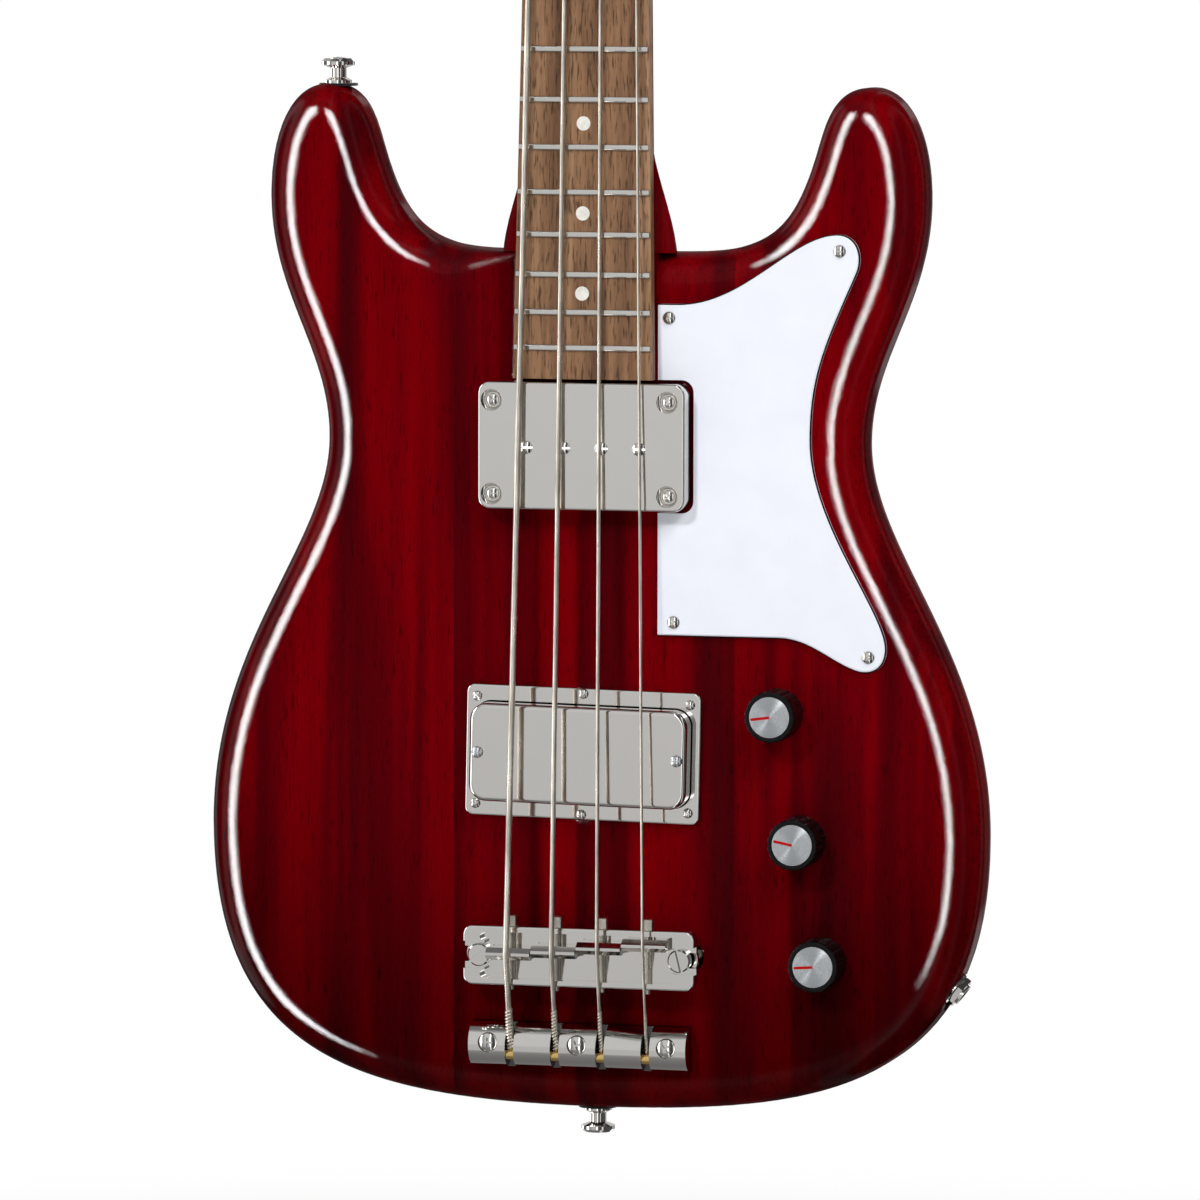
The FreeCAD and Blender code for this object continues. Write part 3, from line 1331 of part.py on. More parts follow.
def winding(name, start):
    """The point where the string from the nut meets its post, and the turns that climb the post."""
    radius = size("string_diameter_" + name) / 2
    x, y = post_places[name]
    side = -1 if x > 0 else 1
    turn_radius = size("post_radius") + size("string_gap") + radius
    local = HEAD.inverse().multVec(start)
    from_x = side * local.x
    to_x = side * x
    distance = math.hypot(to_x - from_x, y - local.y)
    course = math.atan2(y - local.y, to_x - from_x) - math.asin(turn_radius / distance)
    start_angle = course - math.pi / 2
    pitch = 2 * radius + size("winding_gap")
    height = size("winding_height")

    def place(turns):
        angle = start_angle + 2 * math.pi * turns
        point = Vector(side * (to_x + turn_radius * math.cos(angle)), y + turn_radius * math.sin(angle),
                       height + pitch * turns)
        way = Vector(-side * math.sin(angle), math.cos(angle), pitch / (2 * math.pi * turn_radius))
        return HEAD.multVec(point), HEAD.Rotation.multVec(way.normalize())

    contact, _ = place(0)
    run = (contact - start).normalize()
    edges = []
    point, way = contact, run
    for quarter in range(1, int(4 * size("winding_turns")) + 1):
        next_point, next_way = place(quarter / 4)
        edges += biarc(point, way, next_point, next_way)
        point, way = next_point, next_way
    return contact, edges


def make_string(number, name):
    radius = size("string_diameter_" + name) / 2
    saddle = saddle_point(name)
    ball = TAIL.multVec(ball_point(number))
    way = (saddle - ball).normalize()
    start = ball + way * (size("ball_radius") + size("string_gap"))
    nut = nut_point(number, name)
    contact, turns = winding(name, nut)
    edges = rounded_route([start, saddle, nut, contact], size("string_bend")) + turns
    route = Part.Wire(edges)
    profile = Part.Wire(Part.makeCircle(radius, start, way))
    tube = route.makePipeShell([profile], True, False)
    expected = math.pi * radius ** 2 * route.Length
    print(name, "string: length", round(route.Length, 1), "mm, volume over section times length",
          round(tube.Volume / expected, 4), "least gap to itself",
          round(own_gap(nut, contact, turns, radius), 2), "mm")
    return tube


def own_gap(nut, contact, turns, radius):
    """The least distance between points of the run and the winding that are more than a half turn apart."""
    points = Part.makeLine(nut, contact).discretize(60)[:-1]
    run_count = len(points)
    for edge in turns:
        points += edge.discretize(5)[:-1]
    half_turn = (len(points) - run_count) // int(2 * size("winding_turns"))
    return min((first - second).Length for index, first in enumerate(points)
               for second in points[max(index, run_count) + half_turn:]) - 2 * radius


def make_strings():
    item = doc.addObject("Part::Feature", "strings")
    item.Shape = Part.makeCompound([make_string(number, name) for number, name in enumerate(STRINGS)])
    keep("strings", item)


# Tuners

def make_tuners():
    under = -size("head_thickness")
    housings = []
    bushing_bore = size("post_radius") + size("fit")
    bushing = turned("tuner_bushing", at(), [
        (bushing_bore, under), (size("bushing_radius"), under), (size("bushing_radius"), 0),
        (size("bushing_flange"), 0), (size("bushing_flange"), size("bushing_rim")),
        (bushing_bore, size("bushing_rim"))])
    keep("tuner_bushings", copies("tuner_bushings", bushing,
                                  [HEAD * at(x, y, 0) for x, y in post_places.values()]))
    for name, (x, y) in post_places.items():
        side = 1 if x > 0 else -1
        housings.append(make_housing(name, x, y, side))
        make_post(name, x, y)
        make_key(name, x, y, side)
    group = doc.addObject("Part::Compound", "tuner_housings")
    group.Links = housings
    keep("tuner_housings", group)


def key_level():
    return -size("head_thickness") - size("key_depth")


def make_housing(name, x, y, side):
    top = -size("head_thickness")
    frame = HEAD * at(x + side * size("housing_shift"), y - size("key_drop") / 2, top, 180, ALONG)
    box = block("housing_" + name, frame, "housing_width", "housing_length", "housing_height",
                "housing_round", "housing_round")
    bore = cylinder("housing_bore_" + name, "post_radius + fit", "housing_height",
                    HEAD * at(x, y, top - size("housing_height") + size("housing_floor")))
    outer = x + side * (size("housing_shift") + size("housing_width") / 2)
    shaft = cylinder("housing_shaft_" + name, "key_shaft_radius + fit", "2 * key_shaft_inside",
                     HEAD * facing(outer - side * size("key_shaft_inside"), y - size("key_drop"), key_level(),
                                   ACROSS * side))
    return cut("housing_cut_" + name, box, bore, shaft)


def make_post(name, x, y):
    radius = size("post_radius")
    low = -size("head_thickness") - size("housing_height") + size("housing_floor") + size("face_gap")
    top = size("post_height")
    chamfer = size("post_chamfer")
    post = turned("post_blank_" + name, HEAD * at(x, y, 0), [
        (0, low), (radius, low), (radius, top - chamfer), (radius - chamfer, top), (0, top)])
    slot = doc.addObject("Part::Box", "post_slot_" + name)
    bind(slot, Length="3 * post_radius", Width="post_slot", Height="2 * post_slot_depth")
    slot.Placement = HEAD * at(x - 1.5 * radius, y - size("post_slot") / 2, top - size("post_slot_depth"))
    keep("tuner_post_" + name, cut("tuner_post_" + name, post, slot))


def make_key(name, x, y, side):
    outer = x + side * (size("housing_shift") + size("housing_width") / 2)
    inner_end = outer - side * (size("key_shaft_inside") - size("face_gap"))
    frame = HEAD * facing(inner_end, y - size("key_drop"), key_level(), ACROSS * side)
    shaft = cylinder("key_shaft_" + name, "key_shaft_radius", "key_shaft_reach", frame)
    grip = doc.addObject("Part::Ellipsoid", "key_grip_" + name)
    bind(grip, Radius1="key_half_length", Radius2="key_half_width", Radius3="key_half_thickness")
    grip.Angle1 = -90
    grip.Angle2 = 90
    grip.Placement = frame * at(0, 0, size("key_shaft_reach") + size("key_half_length") - size("key_root"))
    keep("tuner_key_" + name, fuse("tuner_key_" + name, shaft, grip))


# Knobs, potentiometers and the control cover

def make_controls():
    roof = -size("cavity_roof")
    low = roof - size("pot_height")
    shaft_low = roof - size("pot_shaft_depth")
    radius = size("pot_radius")
    bushing = size("pot_bushing")
    bushing_top = size("pot_bushing_top")
    nut = size("pot_nut_radius")
    nut_top = size("pot_nut_height")
    bore = size("shaft_radius") + size("fit")
    pot = turned("potentiometer", at(), [
        (0, low), (radius, low), (radius, roof), (bushing, roof), (bushing, 0), (nut, 0), (nut, nut_top),
        (bushing, nut_top), (bushing, bushing_top), (bore, bushing_top), (bore, shaft_low), (0, shaft_low)])
    keep("potentiometers", copies("potentiometers", pot,
                                  [FACE * at(x, y, 0) for x, y in knob_places.values()]))
    for name, (x, y) in knob_places.items():
        make_knob(name, FACE * at(x, y, 0))
    cover = block("cover_blank", BACK * at(0, 0, size("cover_sink")),
                  "cavity_width + 2 * cavity_ledge - ring_gap", "cavity_length + 2 * cavity_ledge - ring_gap",
                  "cover_thickness", "cavity_corner")
    keep("control_cover", cut("control_cover", cover, screw_holes))


def make_knob(name, frame):
    knob = new_body("knob_" + name, frame)
    skirt = sketch_on(knob, "XY_Plane", "knob_lift")
    draw_circle(skirt, "knob_radius")
    feature = pad(knob, skirt, "knob_top - knob_lift")
    round_edges(knob, feature, lies_at(size("knob_top")), "insert_thickness")
    flute = sketch_on(knob, "XY_Plane", "0")
    draw_circle(flute, "knob_flute_radius", size("knob_radius") + size("knob_flute_radius")
                - size("knob_flute_depth"))
    groove = pocket(knob, flute, "knob_top", up=True)
    ring = knob.newObject("PartDesign::PolarPattern", "knob_flutes_" + name)
    ring.Originals = [groove]
    ring.Axis = (skirt, ["N_Axis"])
    ring.Angle = 360
    bind(ring, Occurrences="knob_flutes")
    knob.Tip = ring
    dish = sketch_on(knob, "XY_Plane", "knob_top - insert_thickness")
    draw_circle(dish, "insert_radius")
    pocket(knob, dish, "2 * insert_thickness", up=True)
    hollow = sketch_on(knob, "XY_Plane", "knob_lift")
    draw_circle(hollow, "knob_hollow")
    pocket(knob, hollow, "knob_hollow_depth", up=True)
    bore = sketch_on(knob, "XY_Plane", "knob_lift")
    draw_circle(bore, "shaft_radius")
    pocket(knob, bore, "shaft_top - knob_lift", up=True)
    keep("knob_" + name, knob)
    insert = cylinder("insert_" + name, "insert_radius", "insert_thickness",
                      frame * at(0, 0, size("knob_top") - size("insert_thickness")))
    low = -size("cavity_roof") - size("pot_shaft_depth") + size("face_gap")
    shaft = cylinder("shaft_" + name, "shaft_radius", "shaft_top + cavity_roof + pot_shaft_depth - face_gap",
                     frame * at(0, 0, low))
    group = doc.addObject("Part::Compound", "knob_metal_" + name)
    group.Links = [insert, shaft]
    keep("knob_metal_" + name, group)


# Output jack and strap buttons

def make_jack():
    sleeve = size("jack_sleeve")
    bore = size("jack_bore")
    barrel = size("jack_barrel")
    end = -size("jack_barrel_length")
    keep("output_jack", turned("output_jack", JACK, [
        (0, end), (barrel, end), (barrel, 0), (sleeve, 0), (sleeve, size("jack_sleeve_length")),
        (bore, size("jack_sleeve_length")), (bore, size("jack_sleeve_length") - size("jack_bore_length")),
        (0, size("jack_sleeve_length") - size("jack_bore_length"))]))
    thickness = size("jack_washer_thickness")
    keep("jack_washer", turned("jack_washer", JACK, [
        (sleeve, 0), (size("jack_washer_radius"), 0), (size("jack_washer_radius"), thickness * 0.6),
        (size("jack_washer_radius") - thickness, thickness), (sleeve, thickness)]))
    nut = doc.addObject("Part::Prism", "jack_nut_blank")
    nut.Polygon = 6
    bind(nut, Circumradius="jack_nut_flats / sqrt(3)", Height="jack_nut_thickness")
    nut.Placement = JACK * at(0, 0, thickness)
    hole = cylinder("jack_nut_hole", "jack_sleeve", "4 * jack_nut_thickness", JACK)
    keep("jack_nut", cut("jack_nut", nut, hole))


def make_strap_buttons():
    bore = size("button_bore")
    neck = size("button_neck_radius")
    head = size("button_head_radius")
    base = size("button_base_radius")
    base_top = size("button_base_height")
    top = size("button_height")
    under = top - size("button_head_height")
    edge = size("button_edge")
    sink = bore - size("button_sink")
    seat = size("felt_thickness")
    button = turned("strap_button", at(), [
        (bore, 0), (base, 0), (base, base_top), (neck, base_top + size("button_taper")),
        (neck, under - size("button_head_taper")), (head, under), (head, top - edge), (head - edge, top),
        (bore + sink, top), (bore, top - sink)])
    keep("strap_buttons", copies("strap_buttons", button, [frame * at(0, 0, seat) for frame in strap_frames]))
    felt = turned("strap_felt", at(), [(bore, 0), (size("felt_radius"), 0), (size("felt_radius"), seat),
                                       (bore, seat)])
    keep("strap_button_felts", copies("strap_button_felts", felt, strap_frames))
    shank = bore - size("fit")
    tip = size("hole_room") - size("button_screw_length")
    crown = seat + top
    screw = turned("strap_screw", at(), [
        (0, tip), (shank, tip + shank), (shank, crown - sink), (shank + sink, crown),
        dome(shank + sink, crown, size("button_screw_dome"))])
    keep("strap_button_screws", copies("strap_button_screws", screw, strap_frames))


shaft = neck_shaft()
make_body(shaft)
make_neck(shaft)
make_board()
make_frets()
make_nut()
make_truss_rod()
make_neck_pickup()
make_bridge_pickup()
make_pickguard()
make_bridge()
make_tailpiece()
make_strings()
make_tuners()
make_controls()
make_jack()
make_strap_buttons()
doc.recompute()

failed = [item.Label for item in doc.Objects if "Invalid" in item.State or "Error" in item.State]
failed += [label for label, item in nodes.items() if item.Shape.isNull() or not item.Shape.isValid()]
if failed:
    raise SystemExit("failed: " + ", ".join(failed))
os.makedirs("parts", exist_ok=True)
for label, item in nodes.items():
    item.Shape.exportStep(f"parts/{label}.step")
print(len(nodes), "nodes", sum(len(item.Shape.Solids) for item in nodes.values()), "solids")
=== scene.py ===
import math

import bmesh
import bpy
from mathutils import Matrix, Vector


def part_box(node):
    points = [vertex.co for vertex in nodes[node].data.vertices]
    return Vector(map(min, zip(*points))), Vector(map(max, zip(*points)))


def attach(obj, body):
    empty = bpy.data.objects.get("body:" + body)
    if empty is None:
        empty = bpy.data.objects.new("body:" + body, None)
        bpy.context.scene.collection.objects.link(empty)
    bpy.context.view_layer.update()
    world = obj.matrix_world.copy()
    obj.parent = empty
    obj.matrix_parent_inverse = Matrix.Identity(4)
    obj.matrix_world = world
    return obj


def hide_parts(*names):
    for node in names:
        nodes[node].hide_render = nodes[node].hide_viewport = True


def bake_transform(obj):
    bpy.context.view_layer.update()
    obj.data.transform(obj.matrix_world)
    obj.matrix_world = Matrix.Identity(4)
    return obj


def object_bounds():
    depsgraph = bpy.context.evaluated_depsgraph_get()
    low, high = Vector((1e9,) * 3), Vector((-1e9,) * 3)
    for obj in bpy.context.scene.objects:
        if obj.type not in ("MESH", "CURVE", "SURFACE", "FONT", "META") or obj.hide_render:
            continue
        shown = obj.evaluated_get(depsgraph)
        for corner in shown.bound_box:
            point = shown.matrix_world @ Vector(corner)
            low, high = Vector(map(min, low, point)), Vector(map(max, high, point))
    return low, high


# An electric bass guitar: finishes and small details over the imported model, in metres.

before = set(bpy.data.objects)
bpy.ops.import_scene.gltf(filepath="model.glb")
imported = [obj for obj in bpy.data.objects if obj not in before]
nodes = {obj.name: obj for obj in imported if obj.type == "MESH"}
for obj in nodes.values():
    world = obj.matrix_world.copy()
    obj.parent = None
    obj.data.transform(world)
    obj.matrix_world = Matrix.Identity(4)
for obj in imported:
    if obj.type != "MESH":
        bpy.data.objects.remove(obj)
cad_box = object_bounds()
scene = bpy.context.scene

STRINGS = ("low", "second", "third", "high")
KNOBS = ("upper", "middle", "lower")
SIDES = ("bass", "treble")
OUT = Vector((0, -1, 0))


# Node helpers

def colour(red, green, blue):
    """A colour given as seen on screen, from 0 to 255, in linear light."""
    def linear(value):
        share = value / 255
        return share / 12.92 if share <= 0.04045 else ((share + 0.055) / 1.055) ** 2.4
    return (linear(red), linear(green), linear(blue), 1)


def darker(tint, share):
    """A share of a colour's light."""
    return tuple(share * part for part in tint[:3]) + (1,)


def new_material(name, **sockets):
    """A material whose shader has these values on its own sockets."""
    material = bpy.data.materials.new(name)
    material.use_nodes = True
    shader = material.node_tree.nodes["Principled BSDF"]
    for socket, value in sockets.items():
        shader.inputs[socket.replace("_", " ")].default_value = value
    return material, material.node_tree, shader


def add(tree, kind, inputs=None, **settings):
    """A shader node with its inputs linked or set."""
    made = tree.nodes.new("ShaderNode" + kind)
    for name, value in settings.items():
        setattr(made, name, value)
    for socket, value in (inputs or {}).items():
        if isinstance(value, bpy.types.NodeSocket):
            tree.links.new(value, made.inputs[socket])
        else:
            made.inputs[socket].default_value = value
    return made


def join(tree, socket, shader, name):
    tree.links.new(socket, shader.inputs[name])


def own_points(tree):
    """Points of the object's own frame."""
    return add(tree, "TexCoord").outputs["Object"]


def place(tree, scale=(1, 1, 1)):
    """Points of the object's own frame, stretched by the scale."""
    return stretch(tree, own_points(tree), scale)


def stretch(tree, vector, scale):
    return add(tree, "Mapping", {"Vector": vector, "Scale": scale}).outputs[0]


def axis_of(tree, vector, axis):
    return add(tree, "SeparateXYZ", {"Vector": vector}).outputs[axis]


def calculate(tree, operation, *values):
    return add(tree, "Math", dict(enumerate(values)), operation=operation).outputs[0]


def spread(tree, value, start, end, low=0.0, high=1.0, **settings):
    """A number from low to high, as the value goes from start to end."""
    inputs = {"Value": value, "From Min": start, "From Max": end, "To Min": low, "To Max": high}
    return add(tree, "MapRange", inputs, **settings).outputs[0]


def noise(tree, vector, scale, detail=3, distortion=0):
    made = add(tree, "TexNoise", {"Vector": vector, "Scale": scale, "Detail": detail, "Distortion": distortion})
    return made.outputs["Fac"]


def ramp(tree, factor, *stops, interpolation="LINEAR"):
    """Colours at positions along a factor."""
    made = add(tree, "ValToRGB", {"Fac": factor})
    made.color_ramp.interpolation = interpolation
    elements = made.color_ramp.elements
    while len(elements) < len(stops):
        elements.new(0.5)
    for element, (position, value) in zip(elements, stops):
        element.position = position
        element.color = value if isinstance(value, tuple) else (value, value, value, 1)
    return made.outputs["Color"]


def mix(tree, factor, first, second, blend_type="MIX"):
    """Two colours mixed or multiplied, each one linked or set."""
    made = add(tree, "Mix", {0: factor, 6: first, 7: second}, data_type="RGBA", blend_type=blend_type)
    return made.outputs[2]


def multiply(tree, first, second, share=1):
    return mix(tree, share, first, second, "MULTIPLY")


def bump(tree, height, strength, distance, **inputs):
    settings = {"Height": height, "Strength": strength, "Distance": distance, **inputs}
    return add(tree, "Bump", settings).outputs["Normal"]


# Wood

def cavity_painted_shade(tree, wood, covered):
    """The wood's colour, black within the covered nodes' outlines except near the back: painted shade in the cavities
    under the covers.
    """
    cover_overlap = Vector((0.004, 0, 0.004))
    cavity_back = 0.012
    spot = add(tree, "SeparateXYZ", {"Vector": own_points(tree)})
    inside = 0.0
    for cover in covered:
        low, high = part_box(cover)
        middle = (low + high) / 2
        half = (high - low) / 2 - cover_overlap
        width = calculate(tree, "COMPARE", spot.outputs["X"], middle.x, half.x)
        length = calculate(tree, "COMPARE", spot.outputs["Z"], middle.z, half.z)
        area = calculate(tree, "MULTIPLY", width, length)
        inside = calculate(tree, "ADD", area, inside)
    front = calculate(tree, "LESS_THAN", spot.outputs["Y"], cavity_back)
    hidden = calculate(tree, "MULTIPLY", inside, front)
    # Painted shade: near-black where the cavities under the covers show in the gaps.
    return mix(tree, hidden, wood, colour(6, 4, 4))


def lacquered_mahogany(name, seams=(), covered=(), painted_shade_centre=None):
    """Ribbon-striped wood under red lacquer, its grain along Z, glossier on the rim than on the rubbed face.

    The seams are the x where boards meet. Wood under the covered nodes is black: painted shade in the cavities under
    the covers.
    The colour darkens away from the given point: painted shade where the light falls off toward the rim and the
    bottom.
    """
    face_coat, rim_coat = 0.006, 0.1
    material, tree, shader = new_material(name, Roughness=0.4, Specular_IOR_Level=0.0, Coat_Roughness=0.02)
    vector = place(tree, (1, 1, 0.05))
    x = axis_of(tree, vector, "X")
    for seam in seams:
        board = calculate(tree, "GREATER_THAN", x, seam)
        shift = add(tree, "CombineXYZ", {"X": board, "Y": board, "Z": 0.0}).outputs[0]
        vector = add(tree, "VectorMath", {0: vector, 1: shift}, operation="ADD").outputs[0]
    ribbons = ramp(tree, noise(tree, vector, 44, 3, 0.35), (0.36, colour(64, 3, 8)), (0.48, colour(88, 0, 7)),
                   (0.57, colour(112, 0, 7)), (0.68, colour(122, 0, 6)))
    streaks = ramp(tree, noise(tree, stretch(tree, vector, (1, 1, 0.5)), 260, 4), (0.3, 0.62), (0.62, 1.0))
    pores = ramp(tree, noise(tree, stretch(tree, vector, (1, 1, 2.4)), 1100, 2), (0.3, 0.4), (0.42, 1.0))
    wood = multiply(tree, multiply(tree, ribbons, streaks, 0.5), pores, 0.8)
    # Painted shade: the colour darkens away from the given centre, standing in for light falling off toward the edges
    # and the bottom.
    if painted_shade_centre:
        away = add(tree, "VectorMath", {0: place(tree, (1, 0, 1)), 1: painted_shade_centre}, operation="DISTANCE").outputs["Value"]
        wood = multiply(tree, wood, ramp(tree, away, (0.20, 1.0), (0.235, 0.83), (0.265, 0.6), (0.305, 0.36)))
    curl = ramp(tree, noise(tree, place(tree), 700, 3, 0.5), (0.35, 0.5), (0.6, 1.0))
    rounded = add(tree, "Bevel", {"Radius": 0.004}, samples=6).outputs["Normal"]
    outward = axis_of(tree, rounded, "Y")
    side = spread(tree, outward, -0.9, -0.3)
    base = multiply(tree, wood, curl, side)
    # Black in the cavities under the covers: painted shade.
    if covered:
        base = cavity_painted_shade(tree, base, covered)
    join(tree, base, shader, "Base Color")
    join(tree, bump(tree, pores, 0.08, 0.0002), shader, "Normal")
    join(tree, spread(tree, outward, -0.99995, -0.999, face_coat, rim_coat), shader, "Coat Weight")
    waviness = noise(tree, place(tree), 14, 2)
    join(tree, bump(tree, waviness, 0.03, 0.002, Normal=rounded), shader, "Coat Normal")
    return material


def open_grained_wood(name):
    """Oiled brown fingerboard wood with dark pores along Z."""
    material, tree, shader = new_material(name, Specular_IOR_Level=0.3)
    vector = place(tree, (1, 1, 0.045))
    tone = ramp(tree, noise(tree, vector, 120, 3, 0.3), (0.32, colour(104, 74, 53)), (0.5, colour(140, 104, 76)),
                (0.7, colour(164, 128, 97)))
    pores = ramp(tree, noise(tree, stretch(tree, vector, (1, 1, 2.2)), 1300, 3), (0.34, 0.3), (0.47, 1.0))
    fibres = ramp(tree, noise(tree, vector, 600, 3), (0.35, 0.7), (0.6, 1.0))
    join(tree, multiply(tree, multiply(tree, tone, fibres, 0.8), pores, 0.9), shader, "Base Color")
    join(tree, ramp(tree, pores, (0, 0.75), (1, 0.48)), shader, "Roughness")
    join(tree, bump(tree, pores, 0.35, 0.0003), shader, "Normal")
    return material


# Metals

def polished_metal(name, tint, rough=0.05, smudge=0.05, floor=None):
    """Plated metal with faint smudges and a slightly uneven surface, darker in slots deeper than the floor's y:
    painted shade where the slots reflect the dark body.
    """
    material, tree, shader = new_material(name, Metallic=1.0, Base_Color=tint)
    if floor is not None:
        # Painted shade: the nickel turns near-black below the floor's y, in the slots.
        depth = spread(tree, axis_of(tree, place(tree), "Y"), floor, floor + 0.0003)
        join(tree, ramp(tree, depth, (0.0, tint), (1.0, darker(tint, 0.12))), shader, "Base Color")
    smudges = noise(tree, place(tree), 90, 5, 0.6)
    join(tree, ramp(tree, smudges, (0.35, rough), (0.75, rough + smudge)), shader, "Roughness")
    join(tree, bump(tree, noise(tree, place(tree), 45, 2), 0.025, 0.0015), shader, "Normal")
    return material


def plain_metal(name, tint, rough):
    """Unpolished metal with a fine mottled surface."""
    material, tree, shader = new_material(name, Metallic=1.0)
    mottle = noise(tree, place(tree), 900, 4)
    join(tree, ramp(tree, mottle, (0.3, darker(tint, 0.72)), (0.7, tint)), shader, "Base Color")
    join(tree, ramp(tree, mottle, (0.3, rough), (0.7, rough + 0.15)), shader, "Roughness")
    join(tree, bump(tree, mottle, 0.15, 0.0001), shader, "Normal")
    return material


def banded_metal(name, tint, pitch, rough, strength):
    """Metal with rings across Z, such as a wound string or a thread."""
    material, tree, shader = new_material(name, Metallic=1.0)
    waves_per_unit = 20
    scale = 2 * math.pi / (waves_per_unit * pitch)
    rings = add(tree, "TexWave", {"Vector": place(tree), "Scale": scale}, wave_type="BANDS", bands_direction="Z")
    wear = noise(tree, place(tree, (1, 1, 0.2)), 260, 3)
    join(tree, ramp(tree, wear, (0.3, darker(tint, 0.6)), (0.65, tint)), shader, "Base Color")
    join(tree, ramp(tree, wear, (0.3, rough + 0.12), (0.7, rough)), shader, "Roughness")
    join(tree, bump(tree, rings.outputs["Fac"], strength, pitch / 3), shader, "Normal")
    return material


def spun_metal(name, tint):
    """Aluminium with turning marks around the object's own Z axis."""
    material, tree, shader = new_material(name, Metallic=1.0, Anisotropic=0.95, Anisotropic_Rotation=0.25,
                                          Base_Color=tint)
    tangent = add(tree, "Tangent", direction_type="RADIAL", axis="Z").outputs[0]
    join(tree, tangent, shader, "Tangent")
    distance = add(tree, "VectorMath", {0: own_points(tree)}, operation="LENGTH").outputs["Value"]
    marks = add(tree, "TexNoise", {"W": distance, "Scale": 5200.0, "Detail": 2.0}, noise_dimensions="1D")
    join(tree, ramp(tree, marks.outputs["Fac"], (0.3, 0.26), (0.7, 0.36)), shader, "Roughness")
    join(tree, bump(tree, marks.outputs["Fac"], 0.04, 0.00005), shader, "Normal")
    return material


# Plastics and felt

def moulded_plastic(name, tint, rough=0.25, grain=0.06):
    """Plastic with faint scuffs and a fine grain."""
    material, tree, shader = new_material(name, Specular_IOR_Level=0.15)
    scuffs = noise(tree, place(tree), 420, 5)
    join(tree, ramp(tree, scuffs, (0.3, darker(tint, 0.8)), (0.7, tint)), shader, "Base Color")
    join(tree, ramp(tree, scuffs, (0.3, rough), (0.75, rough + 0.1)), shader, "Roughness")
    join(tree, bump(tree, noise(tree, place(tree), 1500, 2), grain, 0.0001), shader, "Normal")
    return material


def layered_plastic(name, base, top, plies):
    """Laminated sheet: each ply's colour starts at its height above the face that carries the sheet."""
    material, tree, shader = new_material(name, Roughness=0.16, Specular_IOR_Level=0.35)
    height = spread(tree, axis_of(tree, place(tree), "Y"), base, base - top)
    layers = ramp(tree, height, *((start / top, tint) for start, tint in plies), interpolation="CONSTANT")
    cloud = ramp(tree, noise(tree, place(tree), 60, 4), (0.3, 0.965), (0.7, 1.0))
    join(tree, multiply(tree, layers, cloud), shader, "Base Color")
    join(tree, bump(tree, noise(tree, place(tree), 35, 3), 0.02, 0.001), shader, "Normal")
    return material


def pressed_felt(name):
    """Black felt with a fuzzy surface."""
    material, tree, shader = new_material(name, Roughness=0.95, Specular_IOR_Level=0.1, Sheen_Weight=0.4)
    fuzz = noise(tree, place(tree), 2400, 5)
    join(tree, ramp(tree, fuzz, (0.3, colour(8, 8, 8)), (0.7, colour(36, 35, 34))), shader, "Base Color")
    join(tree, bump(tree, fuzz, 0.7, 0.0004), shader, "Normal")
    return material


face_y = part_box("body")[0].y
slot_floor = face_y - 0.0046
body_seams = (-0.0572, 0.0615)
# The point from which the mahogany's painted shade darkens outward.
body_middle = (0, 0, -0.53)
nickel_tint = (0.74, 0.72, 0.69, 1)
mahogany = lacquered_mahogany("lacquered_mahogany", body_seams, ("bridge_pickup_ring", "neck_pickup_cover"),
                              body_middle)
neck_wood = lacquered_mahogany("lacquered_neck")
board_wood = open_grained_wood("fingerboard_wood")
nickel = polished_metal("polished_nickel", nickel_tint)
tail_nickel = polished_metal("slotted_nickel", nickel_tint, floor=slot_floor)
fret_metal = polished_metal("fret_wire", (0.72, 0.70, 0.66, 1), 0.12, 0.12)
zinc = plain_metal("zinc_plate", (0.84, 0.87, 0.90, 1), 0.2)
steel = plain_metal("plain_steel", (0.45, 0.45, 0.45, 1), 0.4)
brass = polished_metal("brass", (0.80, 0.55, 0.20, 1), 0.12, 0.1)
wound = banded_metal("wound_string", (0.88, 0.82, 0.72, 1), pitch=0.0007, rough=0.26, strength=0.3)
thread = banded_metal("threaded_steel", (0.90, 0.85, 0.76, 1), pitch=0.0005, rough=0.22, strength=0.8)
aluminium = plain_metal("aluminium", (0.78, 0.78, 0.79, 1), 0.22)
spun = spun_metal("spun_aluminium", (0.50, 0.52, 0.54, 1))
black_plastic = moulded_plastic("black_plastic", colour(9, 9, 10))
cover_plastic = moulded_plastic("cover_plastic", colour(20, 20, 20), 0.45, 0.25)
red_paint = moulded_plastic("red_pointer", colour(178, 10, 14), 0.45)
pearl = moulded_plastic("white_dot", colour(236, 234, 226), 0.2)
bone = moulded_plastic("nut_white", colour(228, 222, 205), 0.35)
coil_tape = moulded_plastic("coil_tape", colour(14, 14, 14), 0.6)
felt = pressed_felt("black_felt")
sheet_white = colour(238, 241, 250)
sheet_black = colour(14, 15, 20)
guard_sheet = layered_plastic("layered_sheet", face_y, 0.0023,
                              [(0.0, sheet_white), (0.0006, sheet_black), (0.0018, sheet_white)])

